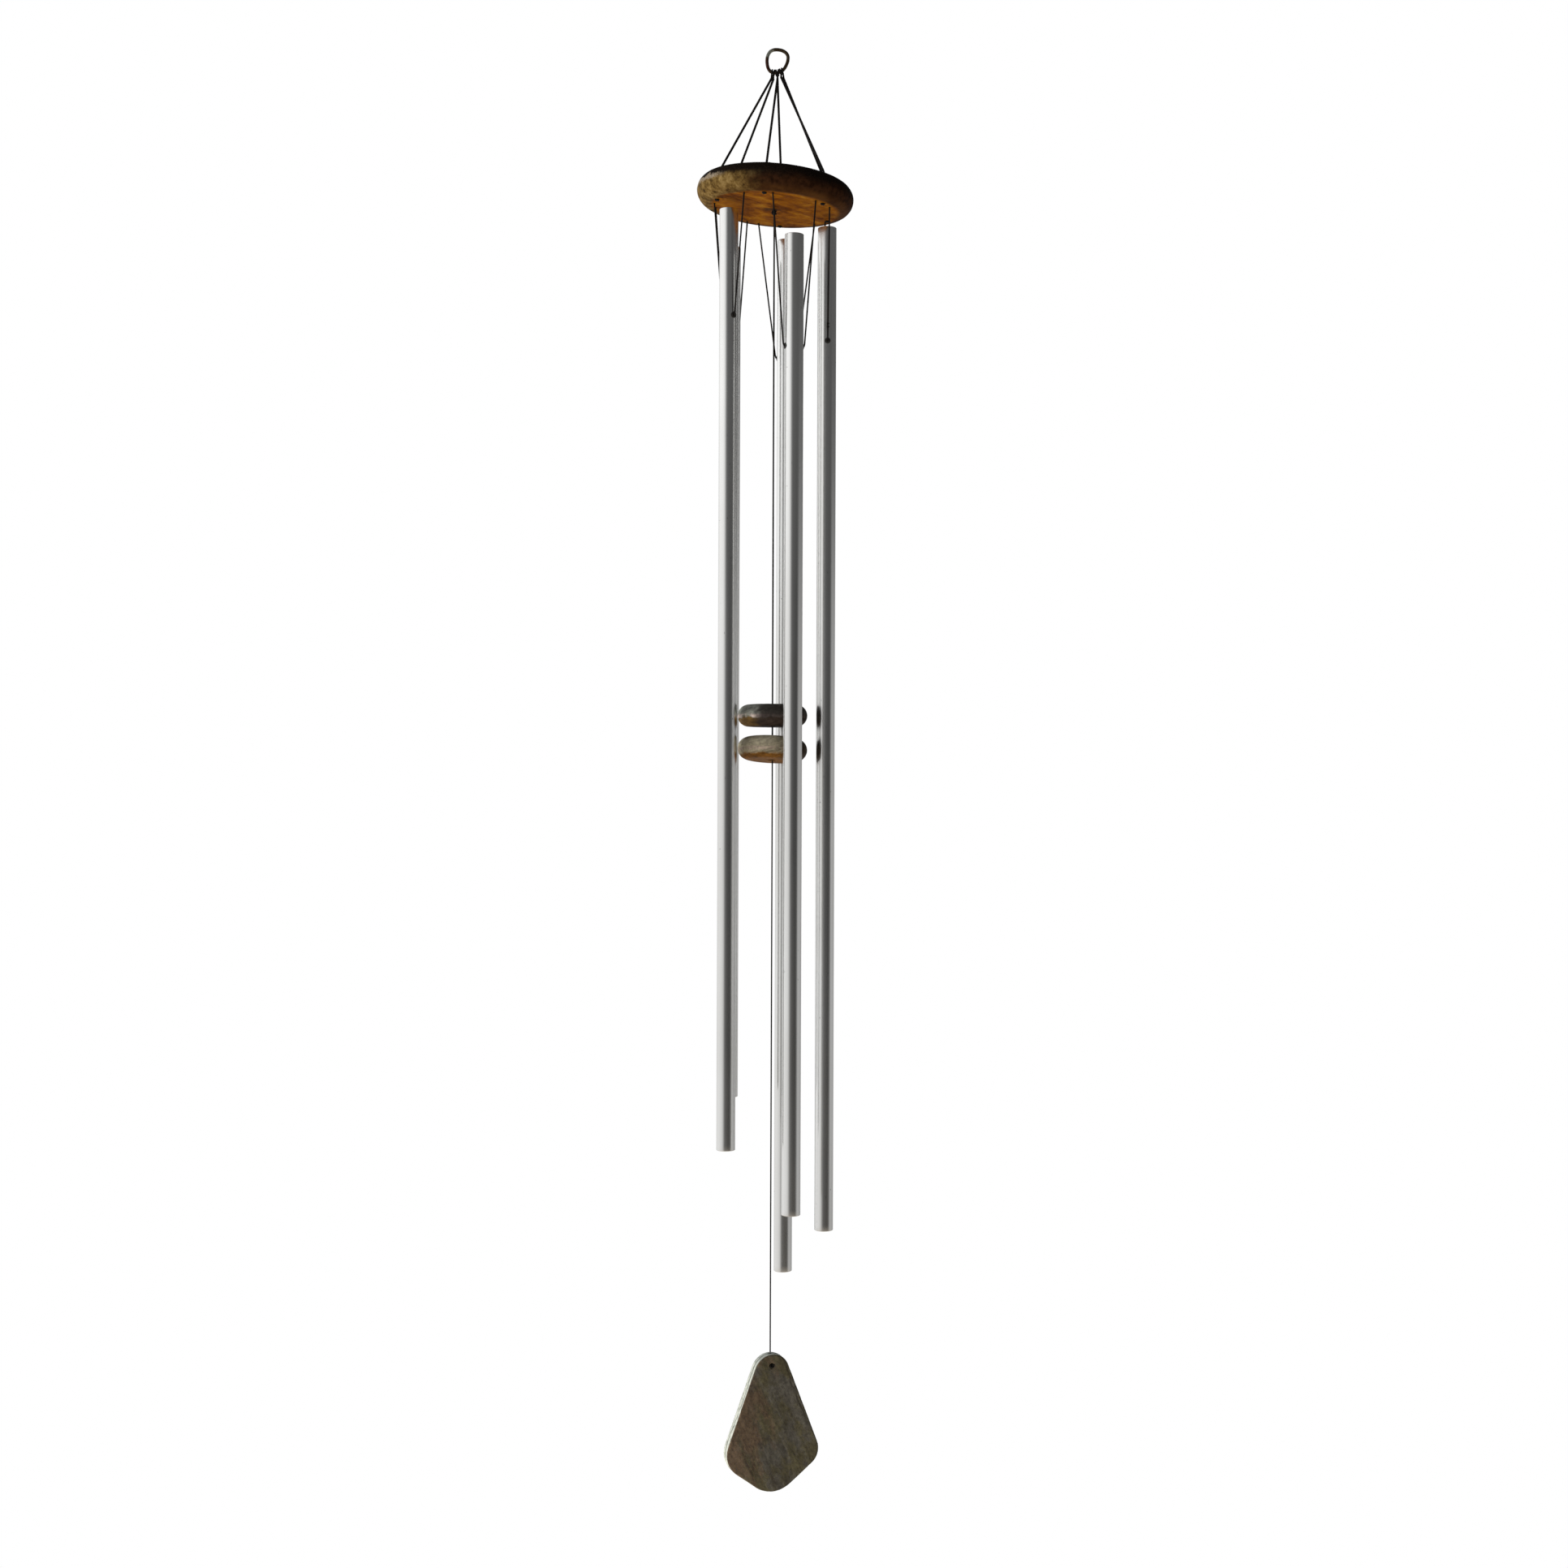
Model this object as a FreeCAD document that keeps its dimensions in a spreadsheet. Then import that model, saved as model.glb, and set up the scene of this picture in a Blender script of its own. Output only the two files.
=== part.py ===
import FreeCAD, Part
import math
import os
import Sketcher
from FreeCAD import Placement, Rotation, Vector

# A wind chime: a steel ring, six cords down to a thick wooden disc, five aluminium
# tubes laced under the disc, two wooden strikers on a centre cord, and a wooden sail
# on a tail cord.
# Millimetres. +Z is up, -Y is the front, +X is the right. The origin is the inside of
# the ring's top, where the hook goes. Sizes along the drop are measured down from there.

UP = Vector(0, 0, 1)
ACROSS = Vector(1, 0, 0)
DEPTH = Vector(0, 1, 0)
ORIGIN = Vector(0, 0, 0)

TOUCHING = 1e-6         # points closer than this are one point
NEARBY = 0.5            # points closer than this are the same corner of an outline
BEND_SHARE = 0.45       # how much of its shorter run a bend may use up
VOLUME_TOLERANCE = 0.01

DIMENSIONS = [
    # hanging ring, bent from round wire
    ("ring_wire", 3.4),
    # cords, by diameter
    ("suspension_cord", 2.5),
    ("tube_cord", 1.7),
    ("centre_cord", 1.8),
    ("tail_cord", 1.5),
    # hitches that tie the suspension cords to the ring, their cord pulled thin
    ("hitch_cord", 1.7),
    ("hitch_clearance", 0.6),
    ("hitch_turn_spacing", 1.5),
    ("hitch_tail", 3.4),
    ("hitch_tail_length", 1.1),
    ("strand_half_gap", 1.35),
    ("strand_gap", 0.8),
    ("strand_stagger", 0.14),
    # top disc
    ("disc_diameter", 160.0),
    ("disc_thickness", 27.3),
    ("disc_underside", 161.8),
    ("disc_tilt", 4.4),
    ("disc_lean_front", 1.2),
    ("disc_offset_across", -1.2),
    ("disc_offset_depth", -1.15),
    ("hole_circle", 61.3),
    ("suspension_hole", 3.4),
    ("lacing_hole", 2.4),
    ("centre_hole", 3.0),
    ("drill_overshoot", 1.0),
    ("stitch_lift", 1.0),
    ("stitch_detour", 2.6),
    ("strand_lift", 1.2),
    ("strand_bend", 3.0),
    ("stitch_bend", 1.2),
    ("stitch_detour_bend", 2.5),
    # knots, as short barrels
    ("suspension_knot", 6.2),
    ("suspension_knot_height", 3.6),
    ("centre_knot", 6.0),
    ("centre_knot_height", 5.0),
    ("striker_knot", 5.6),
    ("striker_knot_height", 4.2),
    ("knot_round_share", 0.3),
    ("tie_knot", 3.4),
    ("tie_knot_height", 3.0),
    ("tie_knot_rise", 15.0),
    # tubes
    ("tube_outside", 19.05),
    ("tube_wall", 1.6),
    ("tube_end_round", 0.5),
    ("tube_hole", 4.9),
    ("tube_hole_share", 0.114),
    # grommets in the tubes' cord holes
    ("grommet_bore", 1.95),
    ("grommet_neck", 4.7),
    ("grommet_flange", 6.0),
    ("grommet_lip", 0.6),
    ("grommet_rim", 0.25),
    ("grommet_inside", 7.3),
    ("grommet_flange_base", 9.56),
    ("grommet_lip_centre", 9.63),
    ("cord_bend_at_grommet", 1.57),
    # strikers
    ("striker_diameter", 71.0),
    ("striker_thickness", 22.6),
    ("striker_hole", 4.6),
    ("striker_recess", 8.4),
    ("striker_recess_depth", 5.0),
    ("upper_striker_drop", 678.1),
    ("lower_striker_drop", 712.4),
    ("lower_striker_lean_right", 2.3),
    ("lower_striker_lean_back", 6.2),
    # sail
    ("sail_top", 1328.0),
    ("sail_thickness", 11.6),
    ("sail_yaw", 20.0),
    ("sail_apex_rise", 34.3),
    ("sail_right_reach", 54.9),
    ("sail_left_reach", 53.0),
    ("sail_corner_drop", 107.0),
    ("sail_foot_drop", 147.8),
    ("sail_foot_offset", 2.0),
    ("sail_top_round", 19.2),
    ("sail_right_round", 19.0),
    ("sail_left_round", 25.0),
    ("sail_foot_round", 31.0),
    ("sail_edge_round", 0.8),
    ("sail_eye", 5.0),
    ("sail_eye_drop", 11.5),
    ("sail_cord_hole", 2.8),
    ("sail_knot_gap", 0.3),
    ("sail_knot_proud", 1.0),
    ("sail_stub_gap", 0.5),
    # running gaps
    ("pivot_gap", 0.6),
    ("striker_gap", 0.8),
    ("upper_knot_gap", 0.15),
    ("cord_gap", 0.4),
]

# Each tube: name, its length, how far its top is below the origin, and the angles of its
# two holes in the disc, counter-clockwise from the right, seen from above.
TUBES = [
    ("front_left", 945.0, 170.6, -175.0, -119.0),
    ("front", 973.0, 202.4, -91.0, -47.0),
    ("right", 1023.0, 179.9, -24.0, 31.0),
    ("back", 1077.5, 179.2, 47.0, 106.0),
    ("back_left", 879.5, 192.1, 118.0, 170.0),
]

# The corners of the ring's bent centreline, across and up, clockwise from the top left.
# The wire runs straight through the middle of each side and bends at each corner.
RING_CORNERS = [
    (-5.0, 1.7),
    (5.6, 1.7),
    (12.6, -3.2),
    (11.9, -12.0),
    (6.3, -21.2),
    (-3.6, -22.4),
    (-8.6, -17.8),
    (-9.6, -6.0),
]

# Each hitch on the ring: name, where its centre is, across and up, how it slopes, how far
# its back strand starts to the right of its front one, and the angles of the disc holes
# that its front and back strands go down to.
HITCHES = [
    ("left", -3.0, -21.75, -10.0, 1.8, -160.0, 140.0),
    ("middle", 1.3, -21.8, 5.0, 0.0, -99.0, 85.0),
    ("right", 5.4, -20.3, 21.0, 2.4, -37.0, 26.0),
]

doc = FreeCAD.newDocument("wind_chime")
sheet = doc.addObject("Spreadsheet::Sheet", "Dims")
row = 0


def add_dimension(alias, value):
    global row
    row += 1
    sheet.set(f"A{row}", alias)
    sheet.set(f"B{row}", str(value))
    sheet.setAlias(f"B{row}", alias)


for alias, value in DIMENSIONS:
    add_dimension(alias, value)
for name, length, top, first_hole, second_hole in TUBES:
    add_dimension(f"{name}_length", length)
    add_dimension(f"{name}_top", top)
    add_dimension(f"{name}_first_hole", first_hole)
    add_dimension(f"{name}_second_hole", second_hole)
for name, across, height, slope, spread, front_hole, back_hole in HITCHES:
    add_dimension(f"{name}_hitch_across", across)
    add_dimension(f"{name}_hitch_height", height)
    add_dimension(f"{name}_hitch_slope", slope)
    add_dimension(f"{name}_strand_spread", spread)
    add_dimension(f"{name}_strand_front_hole", front_hole)
    add_dimension(f"{name}_strand_back_hole", back_hole)
doc.recompute()

nodes = {}


def dim(alias):
    return float(sheet.get(alias))


def keep(name, shape_object):
    """Make an object a sub-part, named in its Label and in its file."""
    shape_object.Label = name
    nodes[name] = shape_object
    return shape_object


def polar(radius, degrees, height=0.0):
    angle = math.radians(degrees)
    return Vector(radius * math.cos(angle), radius * math.sin(angle), height)


# ---- building blocks ---------------------------------------------------------------


def sketch_on(body, role, name):
    """An empty sketch on one of the body's own origin planes."""
    sketch = body.newObject("Sketcher::SketchObject", name)
    plane = next(f for f in body.Origin.OriginFeatures if f.Role == role)
    sketch.AttachmentSupport = [(plane, "")]
    sketch.MapMode = "FlatFace"
    return sketch


def bind(sketch, constraint, expression):
    """Add a constraint whose value follows the sheet."""
    index = sketch.addConstraint(constraint)
    sketch.setExpression(f"Constraints[{index}]", expression)


def circle_in(sketch, expression, radius, height=None, height_expression=None):
    """A circle on the sketch's vertical axis, at the origin or at a bound height."""
    centre = Vector(0, height or 0.0, 0)
    circle = sketch.addGeometry(Part.Circle(centre, UP, radius))
    bind(sketch, Sketcher.Constraint("Radius", circle, radius), expression)
    if height is None:
        sketch.addConstraint(Sketcher.Constraint("Coincident", circle, 3, -1, 1))
        return
    sketch.addConstraint(Sketcher.Constraint("PointOnObject", circle, 3, -2))
    bind(sketch, Sketcher.Constraint("DistanceY", -1, 1, circle, 3, height), height_expression)


def outline_in(sketch, corners):
    """Straight lines joined end to end through the corners, and closed."""
    lines = []
    for here, there in zip(corners, corners[1:] + corners[:1]):
        lines.append(sketch.addGeometry(Part.LineSegment(Vector(*here, 0), Vector(*there, 0))))
    for line, following in zip(lines, lines[1:] + lines[:1]):
        sketch.addConstraint(Sketcher.Constraint("Coincident", line, 2, following, 1))
    return lines


def bullnose_body(name, diameter, thickness):
    """A flat disc with a half-round rim, its underside on the body's own XY plane."""
    body = doc.addObject("PartDesign::Body", name)
    sketch = sketch_on(body, "XZ_Plane", f"{name}_profile")
    high = dim(thickness)
    flat = dim(diameter) / 2 - high / 2
    below = sketch.addGeometry(Part.LineSegment(Vector(0, 0, 0), Vector(flat, 0, 0)))
    rim = sketch.addGeometry(
        Part.ArcOfCircle(Part.Circle(Vector(flat, high / 2, 0), UP, high / 2), -math.pi / 2, math.pi / 2)
    )
    above = sketch.addGeometry(Part.LineSegment(Vector(flat, high, 0), Vector(0, high, 0)))
    middle = sketch.addGeometry(Part.LineSegment(Vector(0, high, 0), Vector(0, 0, 0)))
    for rule in (
        Sketcher.Constraint("Coincident", below, 1, -1, 1),
        Sketcher.Constraint("Tangent", below, 2, rim, 1),
        Sketcher.Constraint("Tangent", rim, 2, above, 1),
        Sketcher.Constraint("Coincident", above, 2, middle, 1),
        Sketcher.Constraint("Coincident", middle, 2, below, 1),
        Sketcher.Constraint("Vertical", middle),
        Sketcher.Constraint("Horizontal", below),
    ):
        sketch.addConstraint(rule)
    bind(sketch, Sketcher.Constraint("DistanceX", -1, 1, below, 2, flat),
         f"Dims.{diameter} / 2 - Dims.{thickness} / 2")
    bind(sketch, Sketcher.Constraint("Radius", rim, high / 2), f"Dims.{thickness} / 2")
    turned = body.newObject("PartDesign::Revolution", f"{name}_turned")
    turned.Profile = sketch
    turned.ReferenceAxis = (sketch, ["V_Axis"])
    turned.Angle = 360
    body.Tip = turned
    return body


def through_pocket(body, sketch, name):
    """Cut a sketch right through the body, both ways."""
    pocket = body.newObject("PartDesign::Pocket", name)
    pocket.Profile = sketch
    pocket.Type = "ThroughAll"
    pocket.Midplane = True
    body.Tip = pocket
    return pocket


def round_edges(body, name, chosen, expression):
    """Round the edges of the body's tip for which chosen(edge) holds."""
    doc.recompute()
    base = body.Tip
    edges = [f"Edge{i + 1}" for i, edge in enumerate(base.Shape.Edges) if chosen(edge)]
    fillet = body.newObject("PartDesign::Fillet", name)
    fillet.Base = (base, edges)
    fillet.setExpression("Radius", expression)
    body.Tip = fillet
    return fillet


def cylinder(name, radius, height, placement):
    made = doc.addObject("Part::Cylinder", name)
    made.setExpression("Radius", radius)
    made.setExpression("Height", height)
    made.Placement = placement
    return made


def barrel(name, diameter, height, placement):
    """A knot: a short cylinder with rounded rims, standing on its own XY plane."""
    core = cylinder(f"{name}_core", f"Dims.{diameter} / 2", f"Dims.{height}", Placement())
    doc.recompute()
    made = doc.addObject("Part::Fillet", name)
    made.Base = core
    rims = [i + 1 for i, edge in enumerate(core.Shape.Edges) if edge.Curve.TypeId == "Part::GeomCircle"]
    rounding = dim("knot_round_share") * dim(height)
    made.Edges = [(i, rounding, rounding) for i in rims]
    made.Placement = placement
    return made


def group(name, members):
    """Separate solids that share one node."""
    made = doc.addObject("Part::Compound", name)
    made.Links = members
    return keep(name, made)


def rounded_path(points, radii, closed=False):
    """Straight runs through the points, joined by tangent arcs of the given radii."""
    count = len(points)
    ends = []
    for i in range(count):
        if not closed and i in (0, count - 1):
            ends.append((points[i], points[i]))
            continue
        before, here, after = points[i - 1], points[i], points[(i + 1) % count]
        back = (before - here).normalize()
        on = (after - here).normalize()
        half_turn = (math.pi - back.getAngle(on)) / 2
        reach = radii[i] * math.tan(half_turn)
        ends.append((here + back * reach, here + on * reach))
    edges = []
    for i in range(count):
        start, stop = ends[i]
        if (stop - start).Length > TOUCHING:
            corner = points[i]
            middle_way = ((start + stop) * 0.5 - corner).normalize()
            half_angle = (start - corner).getAngle(stop - corner) / 2
            to_centre = radii[i] / math.sin(half_angle)
            edges.append(Part.Arc(start, corner + middle_way * (to_centre - radii[i]), stop).toShape())
        if closed or i < count - 1:
            following = ends[(i + 1) % count][0]
            edges.append(Part.LineSegment(stop, following).toShape())
    return Part.Wire(edges)


def corner_radius(points, i):
    """The largest arc that both runs at a corner have room for."""
    count = len(points)
    before, here, after = points[i - 1], points[i], points[(i + 1) % count]
    half_turn = (math.pi - (before - here).getAngle(after - here)) / 2
    return BEND_SHARE * min((before - here).Length, (after - here).Length) / math.tan(half_turn)


def swept(path, diameter, start, direction):
    """A round section carried along the path, checked against its length."""
    section = Part.Wire(Part.Circle(start, direction, diameter / 2).toShape())
    solid = path.makePipeShell([section], True, True)
    expected = math.pi * diameter ** 2 / 4 * path.Length
    if abs(solid.Volume - expected) > VOLUME_TOLERANCE * expected:
        raise ValueError(f"swept volume {solid.Volume:.2f}, expected {expected:.2f}")
    return solid


def cord(name, points, diameter, radii):
    """A cord's tube, with its first point as its own origin."""
    origin = points[0]
    local = [p - origin for p in points]
    path = rounded_path(local, [0.0] + radii + [0.0])
    made = doc.addObject("Part::Feature", name)
    made.Shape = swept(path, diameter, local[0], local[1] - local[0])
    made.Placement = Placement(origin, Rotation())
    bends = ", ".join(f"{r:.2f}" for r in radii) or "none"
    print(f"{name}: length {path.Length:.1f}, bend radii {bends}")
    return made


# ---- ring and hitches --------------------------------------------------------------

ring_corners = [Vector(across, 0, height) for across, height in RING_CORNERS]
ring_radii = [corner_radius(ring_corners, i) for i in range(len(ring_corners))]
ring_path = rounded_path(ring_corners, ring_radii, closed=True)
ring_start = ring_path.Edges[-1].Vertexes[0].Point
ring = doc.addObject("Part::Feature", "hanging_ring")
ring.Shape = swept(
    Part.Wire(ring_path.Edges[-1:] + ring_path.Edges[:-1]),
    dim("ring_wire"),
    ring_path.Edges[-1].valueAt(ring_path.Edges[-1].FirstParameter),
    ring_path.Edges[-1].tangentAt(ring_path.Edges[-1].FirstParameter),
)
keep("hanging_ring", ring)


def hitch(name):
    """Two turns of cord round the ring's wire, and the tail that the strands leave."""
    slope = math.radians(dim(f"{name}_hitch_slope"))
    along = Vector(math.cos(slope), 0, math.sin(slope))
    under = Vector(math.sin(slope), 0, -math.cos(slope))
    centre = Vector(dim(f"{name}_hitch_across"), 0, dim(f"{name}_hitch_height"))
    turns = []
    for side in (-0.5, 0.5):
        turn = doc.addObject("Part::Torus", f"{name}_hitch_turn")
        turn.setExpression("Radius1", "Dims.ring_wire / 2 + Dims.hitch_clearance + Dims.hitch_cord / 2")
        turn.setExpression("Radius2", "Dims.hitch_cord / 2")
        turn.Placement = Placement(centre + along * (side * dim("hitch_turn_spacing")), Rotation(UP, along))
        turns.append(turn)
    doc.recompute()
    reach = turns[0].Radius1.Value
    tail_top = centre + under * reach
    tail = cylinder(f"{name}_hitch_tail", "Dims.hitch_tail / 2",
                    "Dims.hitch_cord / 2 + Dims.hitch_tail_length",
                    Placement(tail_top, Rotation(UP, -UP)))
    made = doc.addObject("Part::MultiFuse", f"{name}_hitch")
    made.Shapes = turns + [tail]
    return made, tail_top - UP * (dim("hitch_cord") / 2 + dim("hitch_tail_length"))


hitches = {name: hitch(name) for name, *_ in HITCHES}
group("ring_hitches", [made for made, _ in hitches.values()])

# ---- top disc ----------------------------------------------------------------------

disc_place = Placement(
    Vector(dim("disc_offset_across"), dim("disc_offset_depth"), -dim("disc_underside")),
    Rotation(DEPTH, dim("disc_tilt")).multiply(Rotation(ACROSS, dim("disc_lean_front"))),
)


def on_disc(point):
    """A point given in the disc's own frame, whose XY plane is its underside."""
    return disc_place.multVec(point)


def drill(name, diameter, radius, angle):
    """The hole through the disc at one radius and angle, as a solid to cut away."""
    foot = polar(radius, angle, -dim("drill_overshoot"))
    return cylinder(name, f"Dims.{diameter} / 2", "Dims.disc_thickness + 2 * Dims.drill_overshoot",
                    Placement(foot, Rotation()))


blank = bullnose_body("disc_blank", "disc_diameter", "disc_thickness")
drills = [drill("centre_drill", "centre_hole", 0.0, 0.0)]
for name, *_ in TUBES:
    for which in ("first", "second"):
        drills.append(drill(f"{name}_{which}_drill", "lacing_hole",
                            dim("hole_circle"), dim(f"{name}_{which}_hole")))
for name, *_ in HITCHES:
    for which in ("front", "back"):
        drills.append(drill(f"{name}_{which}_drill", "suspension_hole",
                            dim("hole_circle"), dim(f"{name}_strand_{which}_hole")))
drilling = doc.addObject("Part::MultiFuse", "disc_drilling")
drilling.Shapes = drills
disc = doc.addObject("Part::Cut", "top_disc")
disc.Base = blank
disc.Tool = drilling
disc.Placement = disc_place
keep("top_disc", disc)

# ---- suspension cords and their knots ------------------------------------------------

# The further out a hitch is, the more its strands lean, and the lower they start.
suspension_knots = []
for name, *_ in HITCHES:
    foot = hitches[name][1]
    top_drop = dim("strand_gap") + dim("strand_stagger") * abs(foot.x)
    for which, side in (("front", -1), ("back", 1)):
        angle = dim(f"{name}_strand_{which}_hole")
        aside = side * dim(f"{name}_strand_spread") / 2
        top = foot + Vector(aside, side * dim("strand_half_gap"), -top_drop)
        above_hole = on_disc(polar(dim("hole_circle"), angle, dim("disc_thickness") + dim("strand_lift")))
        hole_foot = on_disc(polar(dim("hole_circle"), angle))
        keep(f"suspension_cord_{name}_{which}",
             cord(f"suspension_cord_{name}_{which}", [top, above_hole, hole_foot],
                  dim("suspension_cord"), [dim("strand_bend")]))
        knot_place = disc_place.multiply(Placement(
            polar(dim("hole_circle"), angle, -dim("suspension_knot_height")), Rotation()))
        suspension_knots.append(
            barrel(f"knot_{name}_{which}", "suspension_knot", "suspension_knot_height", knot_place))
group("suspension_knots", suspension_knots)

# ---- lacing over the top of the disc -------------------------------------------------


def strands_between(start, stop):
    """The angles of the suspension cords that a stitch passes, from hole to hole."""
    angles = [dim(f"{name}_strand_{which}_hole") for name, *_ in HITCHES for which in ("front", "back")]
    return sorted(angle for angle in angles if start < angle < stop)


stitches = []
for (name, *_), (following, *_) in zip(TUBES, TUBES[1:] + TUBES[:1]):
    start, stop = dim(f"{name}_second_hole"), dim(f"{following}_first_hole")
    radius, run = dim("hole_circle"), dim("disc_thickness") + dim("stitch_lift")
    passed = strands_between(start, stop)
    route = [polar(radius, start), polar(radius, start, run)]
    route += [polar(radius + dim("stitch_detour"), angle, run) for angle in passed]
    route += [polar(radius, stop, run), polar(radius, stop)]
    bends = [dim("stitch_bend")] + [dim("stitch_detour_bend")] * len(passed) + [dim("stitch_bend")]
    stitches.append(cord(f"stitch_{name}", [on_disc(p) for p in route], dim("tube_cord"), bends))
group("lacing_stitches", stitches)

# ---- tubes, grommets and the cords that carry them -----------------------------------

chime = {}


def grommet(name):
    """A rubber eyelet in the tube's right-hand cord hole, on the tube's own X axis."""
    body = doc.addObject("PartDesign::Body", name)
    sketch = sketch_on(body, "XZ_Plane", f"{name}_profile")
    bore, neck, flange = dim("grommet_bore") / 2, dim("grommet_neck") / 2, dim("grommet_flange") / 2
    lip, inside = dim("grommet_lip"), dim("grommet_inside")
    base, centre = dim("grommet_flange_base"), dim("grommet_lip_centre")
    crown = bore + lip
    corners = [(centre, bore), (inside, bore), (inside, neck), (base, neck), (base, flange),
               (base + dim("grommet_rim"), flange), (centre + lip, crown)]
    for here, there in zip(corners, corners[1:]):
        sketch.addGeometry(Part.LineSegment(Vector(*here, 0), Vector(*there, 0)))
    round_lip = Part.ArcOfCircle(Part.Circle(Vector(centre, crown, 0), UP, lip), -math.pi / 2, 0)
    sketch.addGeometry(round_lip)
    turned = body.newObject("PartDesign::Revolution", f"{name}_turned")
    turned.Profile = sketch
    turned.ReferenceAxis = (sketch, ["H_Axis"])
    turned.Angle = 360
    body.Tip = turned
    return body


for name, *_ in TUBES:
    mouths = [on_disc(polar(dim("hole_circle"), dim(f"{name}_{which}_hole")))
              for which in ("first", "second")]
    centre = (mouths[0] + mouths[1]) * 0.5
    along = mouths[1] - mouths[0]
    along = Vector(along.x, along.y, 0).normalize()
    top = Vector(centre.x, centre.y, -dim(f"{name}_top"))
    hole_drop = dim("tube_hole_share") * dim(f"{name}_length")
    hole = top - UP * hole_drop
    chime[name] = {"mouths": mouths, "along": along, "hole": hole, "top": top}
    tube_place = Placement(top, Rotation(ACROSS, along))

    body = doc.addObject("PartDesign::Body", f"chime_tube_{name}")
    ends = sketch_on(body, "XY_Plane", f"{name}_section")
    circle_in(ends, "Dims.tube_outside / 2", dim("tube_outside") / 2)
    circle_in(ends, "Dims.tube_outside / 2 - Dims.tube_wall", dim("tube_outside") / 2 - dim("tube_wall"))
    pad = body.newObject("PartDesign::Pad", f"{name}_pad")
    pad.Profile = ends
    pad.setExpression("Length", f"Dims.{name}_length")
    pad.Reversed = True
    cross = sketch_on(body, "YZ_Plane", f"{name}_cross")
    circle_in(cross, "Dims.tube_hole / 2", dim("tube_hole") / 2, -hole_drop,
              f"-Dims.tube_hole_share * Dims.{name}_length")
    through_pocket(body, cross, f"{name}_cord_holes")
    outer = dim("tube_outside") / 2

    def is_outer_rim(edge, outer=outer):
        return edge.Curve.TypeId == "Part::GeomCircle" and abs(edge.Curve.Radius - outer) < TOUCHING

    round_edges(body, f"{name}_rims", is_outer_rim, "Dims.tube_end_round")
    body.Placement = tube_place
    keep(f"chime_tube_{name}", body)

    pair = []
    for side, turn in (("right", 0), ("left", 180)):
        eyelet = grommet(f"{name}_grommet_{side}")
        eyelet.Placement = Placement(hole, Rotation(ACROSS, along)).multiply(
            Placement(ORIGIN, Rotation(UP, turn)))
        pair.append(eyelet)
    group(f"grommets_{name}", pair)

    bend_out = dim("grommet_lip_centre") + dim("cord_bend_at_grommet")
    left, right = hole - along * bend_out, hole + along * bend_out
    first = mouths[0] + (left - mouths[0]).normalize() * (2 * dim("cord_gap"))
    last = mouths[1] + (right - mouths[1]).normalize() * (2 * dim("cord_gap"))
    keep(f"tube_cord_{name}",
         cord(f"tube_cord_{name}", [first, left, right, last], dim("tube_cord"),
              [dim("cord_bend_at_grommet")] * 2))

# The lacing's two ends are tied together on the front strand of the right-hand tube.
right = chime["right"]
front_hole = right["hole"] - right["along"] * (dim("grommet_lip_centre") + dim("cord_bend_at_grommet"))
strand = (right["mouths"][0] - front_hole).normalize()
knot_ring = doc.addObject("Part::Cut", "tie_off_knot")
knot_ring.Base = barrel("tie_off_barrel", "tie_knot", "tie_knot_height", Placement())
knot_ring.Tool = cylinder("tie_off_bore", "Dims.tube_cord / 2",
                          "Dims.tie_knot_height + 2 * Dims.drill_overshoot",
                          Placement(-UP * dim("drill_overshoot"), Rotation()))
knot_ring.Placement = Placement(front_hole + strand * dim("tie_knot_rise"), Rotation(UP, strand))
keep("tie_off_knot", knot_ring)

# ---- centre cord, strikers and their knots -------------------------------------------

axis = Vector(dim("disc_offset_across"), dim("disc_offset_depth"), 0)


def down(drop):
    """A point on the centre cord's line, this far below the origin."""
    return axis - UP * drop


anchor_stub = cylinder("anchor_stub", "Dims.centre_cord / 2", "Dims.disc_thickness", Placement())
anchor_knot = barrel("anchor_knot", "centre_knot", "centre_knot_height",
                     Placement(Vector(0, 0, dim("disc_thickness")), Rotation()))
anchor = doc.addObject("Part::MultiFuse", "centre_anchor")
anchor.Shapes = [anchor_stub, anchor_knot]
anchor.Placement = disc_place
keep("centre_anchor", anchor)

pivot_knot_foot = dim("disc_underside") + dim("pivot_gap") + dim("centre_knot_height")
keep("centre_cord_knot", barrel("centre_cord_knot", "centre_knot", "centre_knot_height",
                                Placement(down(pivot_knot_foot), Rotation())))

# Each striker rests on a knot that is drawn up into the recess in its underside.
recess_ceiling = dim("striker_thickness") / 2 - dim("striker_recess_depth")
lower_knot_top = dim("lower_striker_drop") + recess_ceiling + dim("striker_gap")
keep("centre_cord", cylinder(
    "centre_cord", "Dims.centre_cord / 2",
    "Dims.lower_striker_drop + Dims.striker_thickness / 2 - Dims.striker_recess_depth + Dims.striker_gap"
    " - (Dims.disc_underside + Dims.pivot_gap + Dims.centre_knot_height) - 2 * Dims.cord_gap",
    Placement(down(lower_knot_top - dim("cord_gap")), Rotation()),
))

upper_knot_top = dim("upper_striker_drop") + recess_ceiling + dim("upper_knot_gap")
upper_knot_foot = upper_knot_top + dim("striker_knot_height")
upper_knot = doc.addObject("Part::Cut", "upper_striker_knot")
upper_knot.Base = barrel("upper_knot_barrel", "striker_knot", "striker_knot_height",
                         Placement(down(upper_knot_foot), Rotation()))
upper_knot.Tool = cylinder("upper_knot_bore", "Dims.centre_cord / 2",
                           "Dims.striker_knot_height + 2 * Dims.drill_overshoot",
                           Placement(down(upper_knot_foot + dim("drill_overshoot")), Rotation()))
keep("upper_striker_knot", upper_knot)


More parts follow.
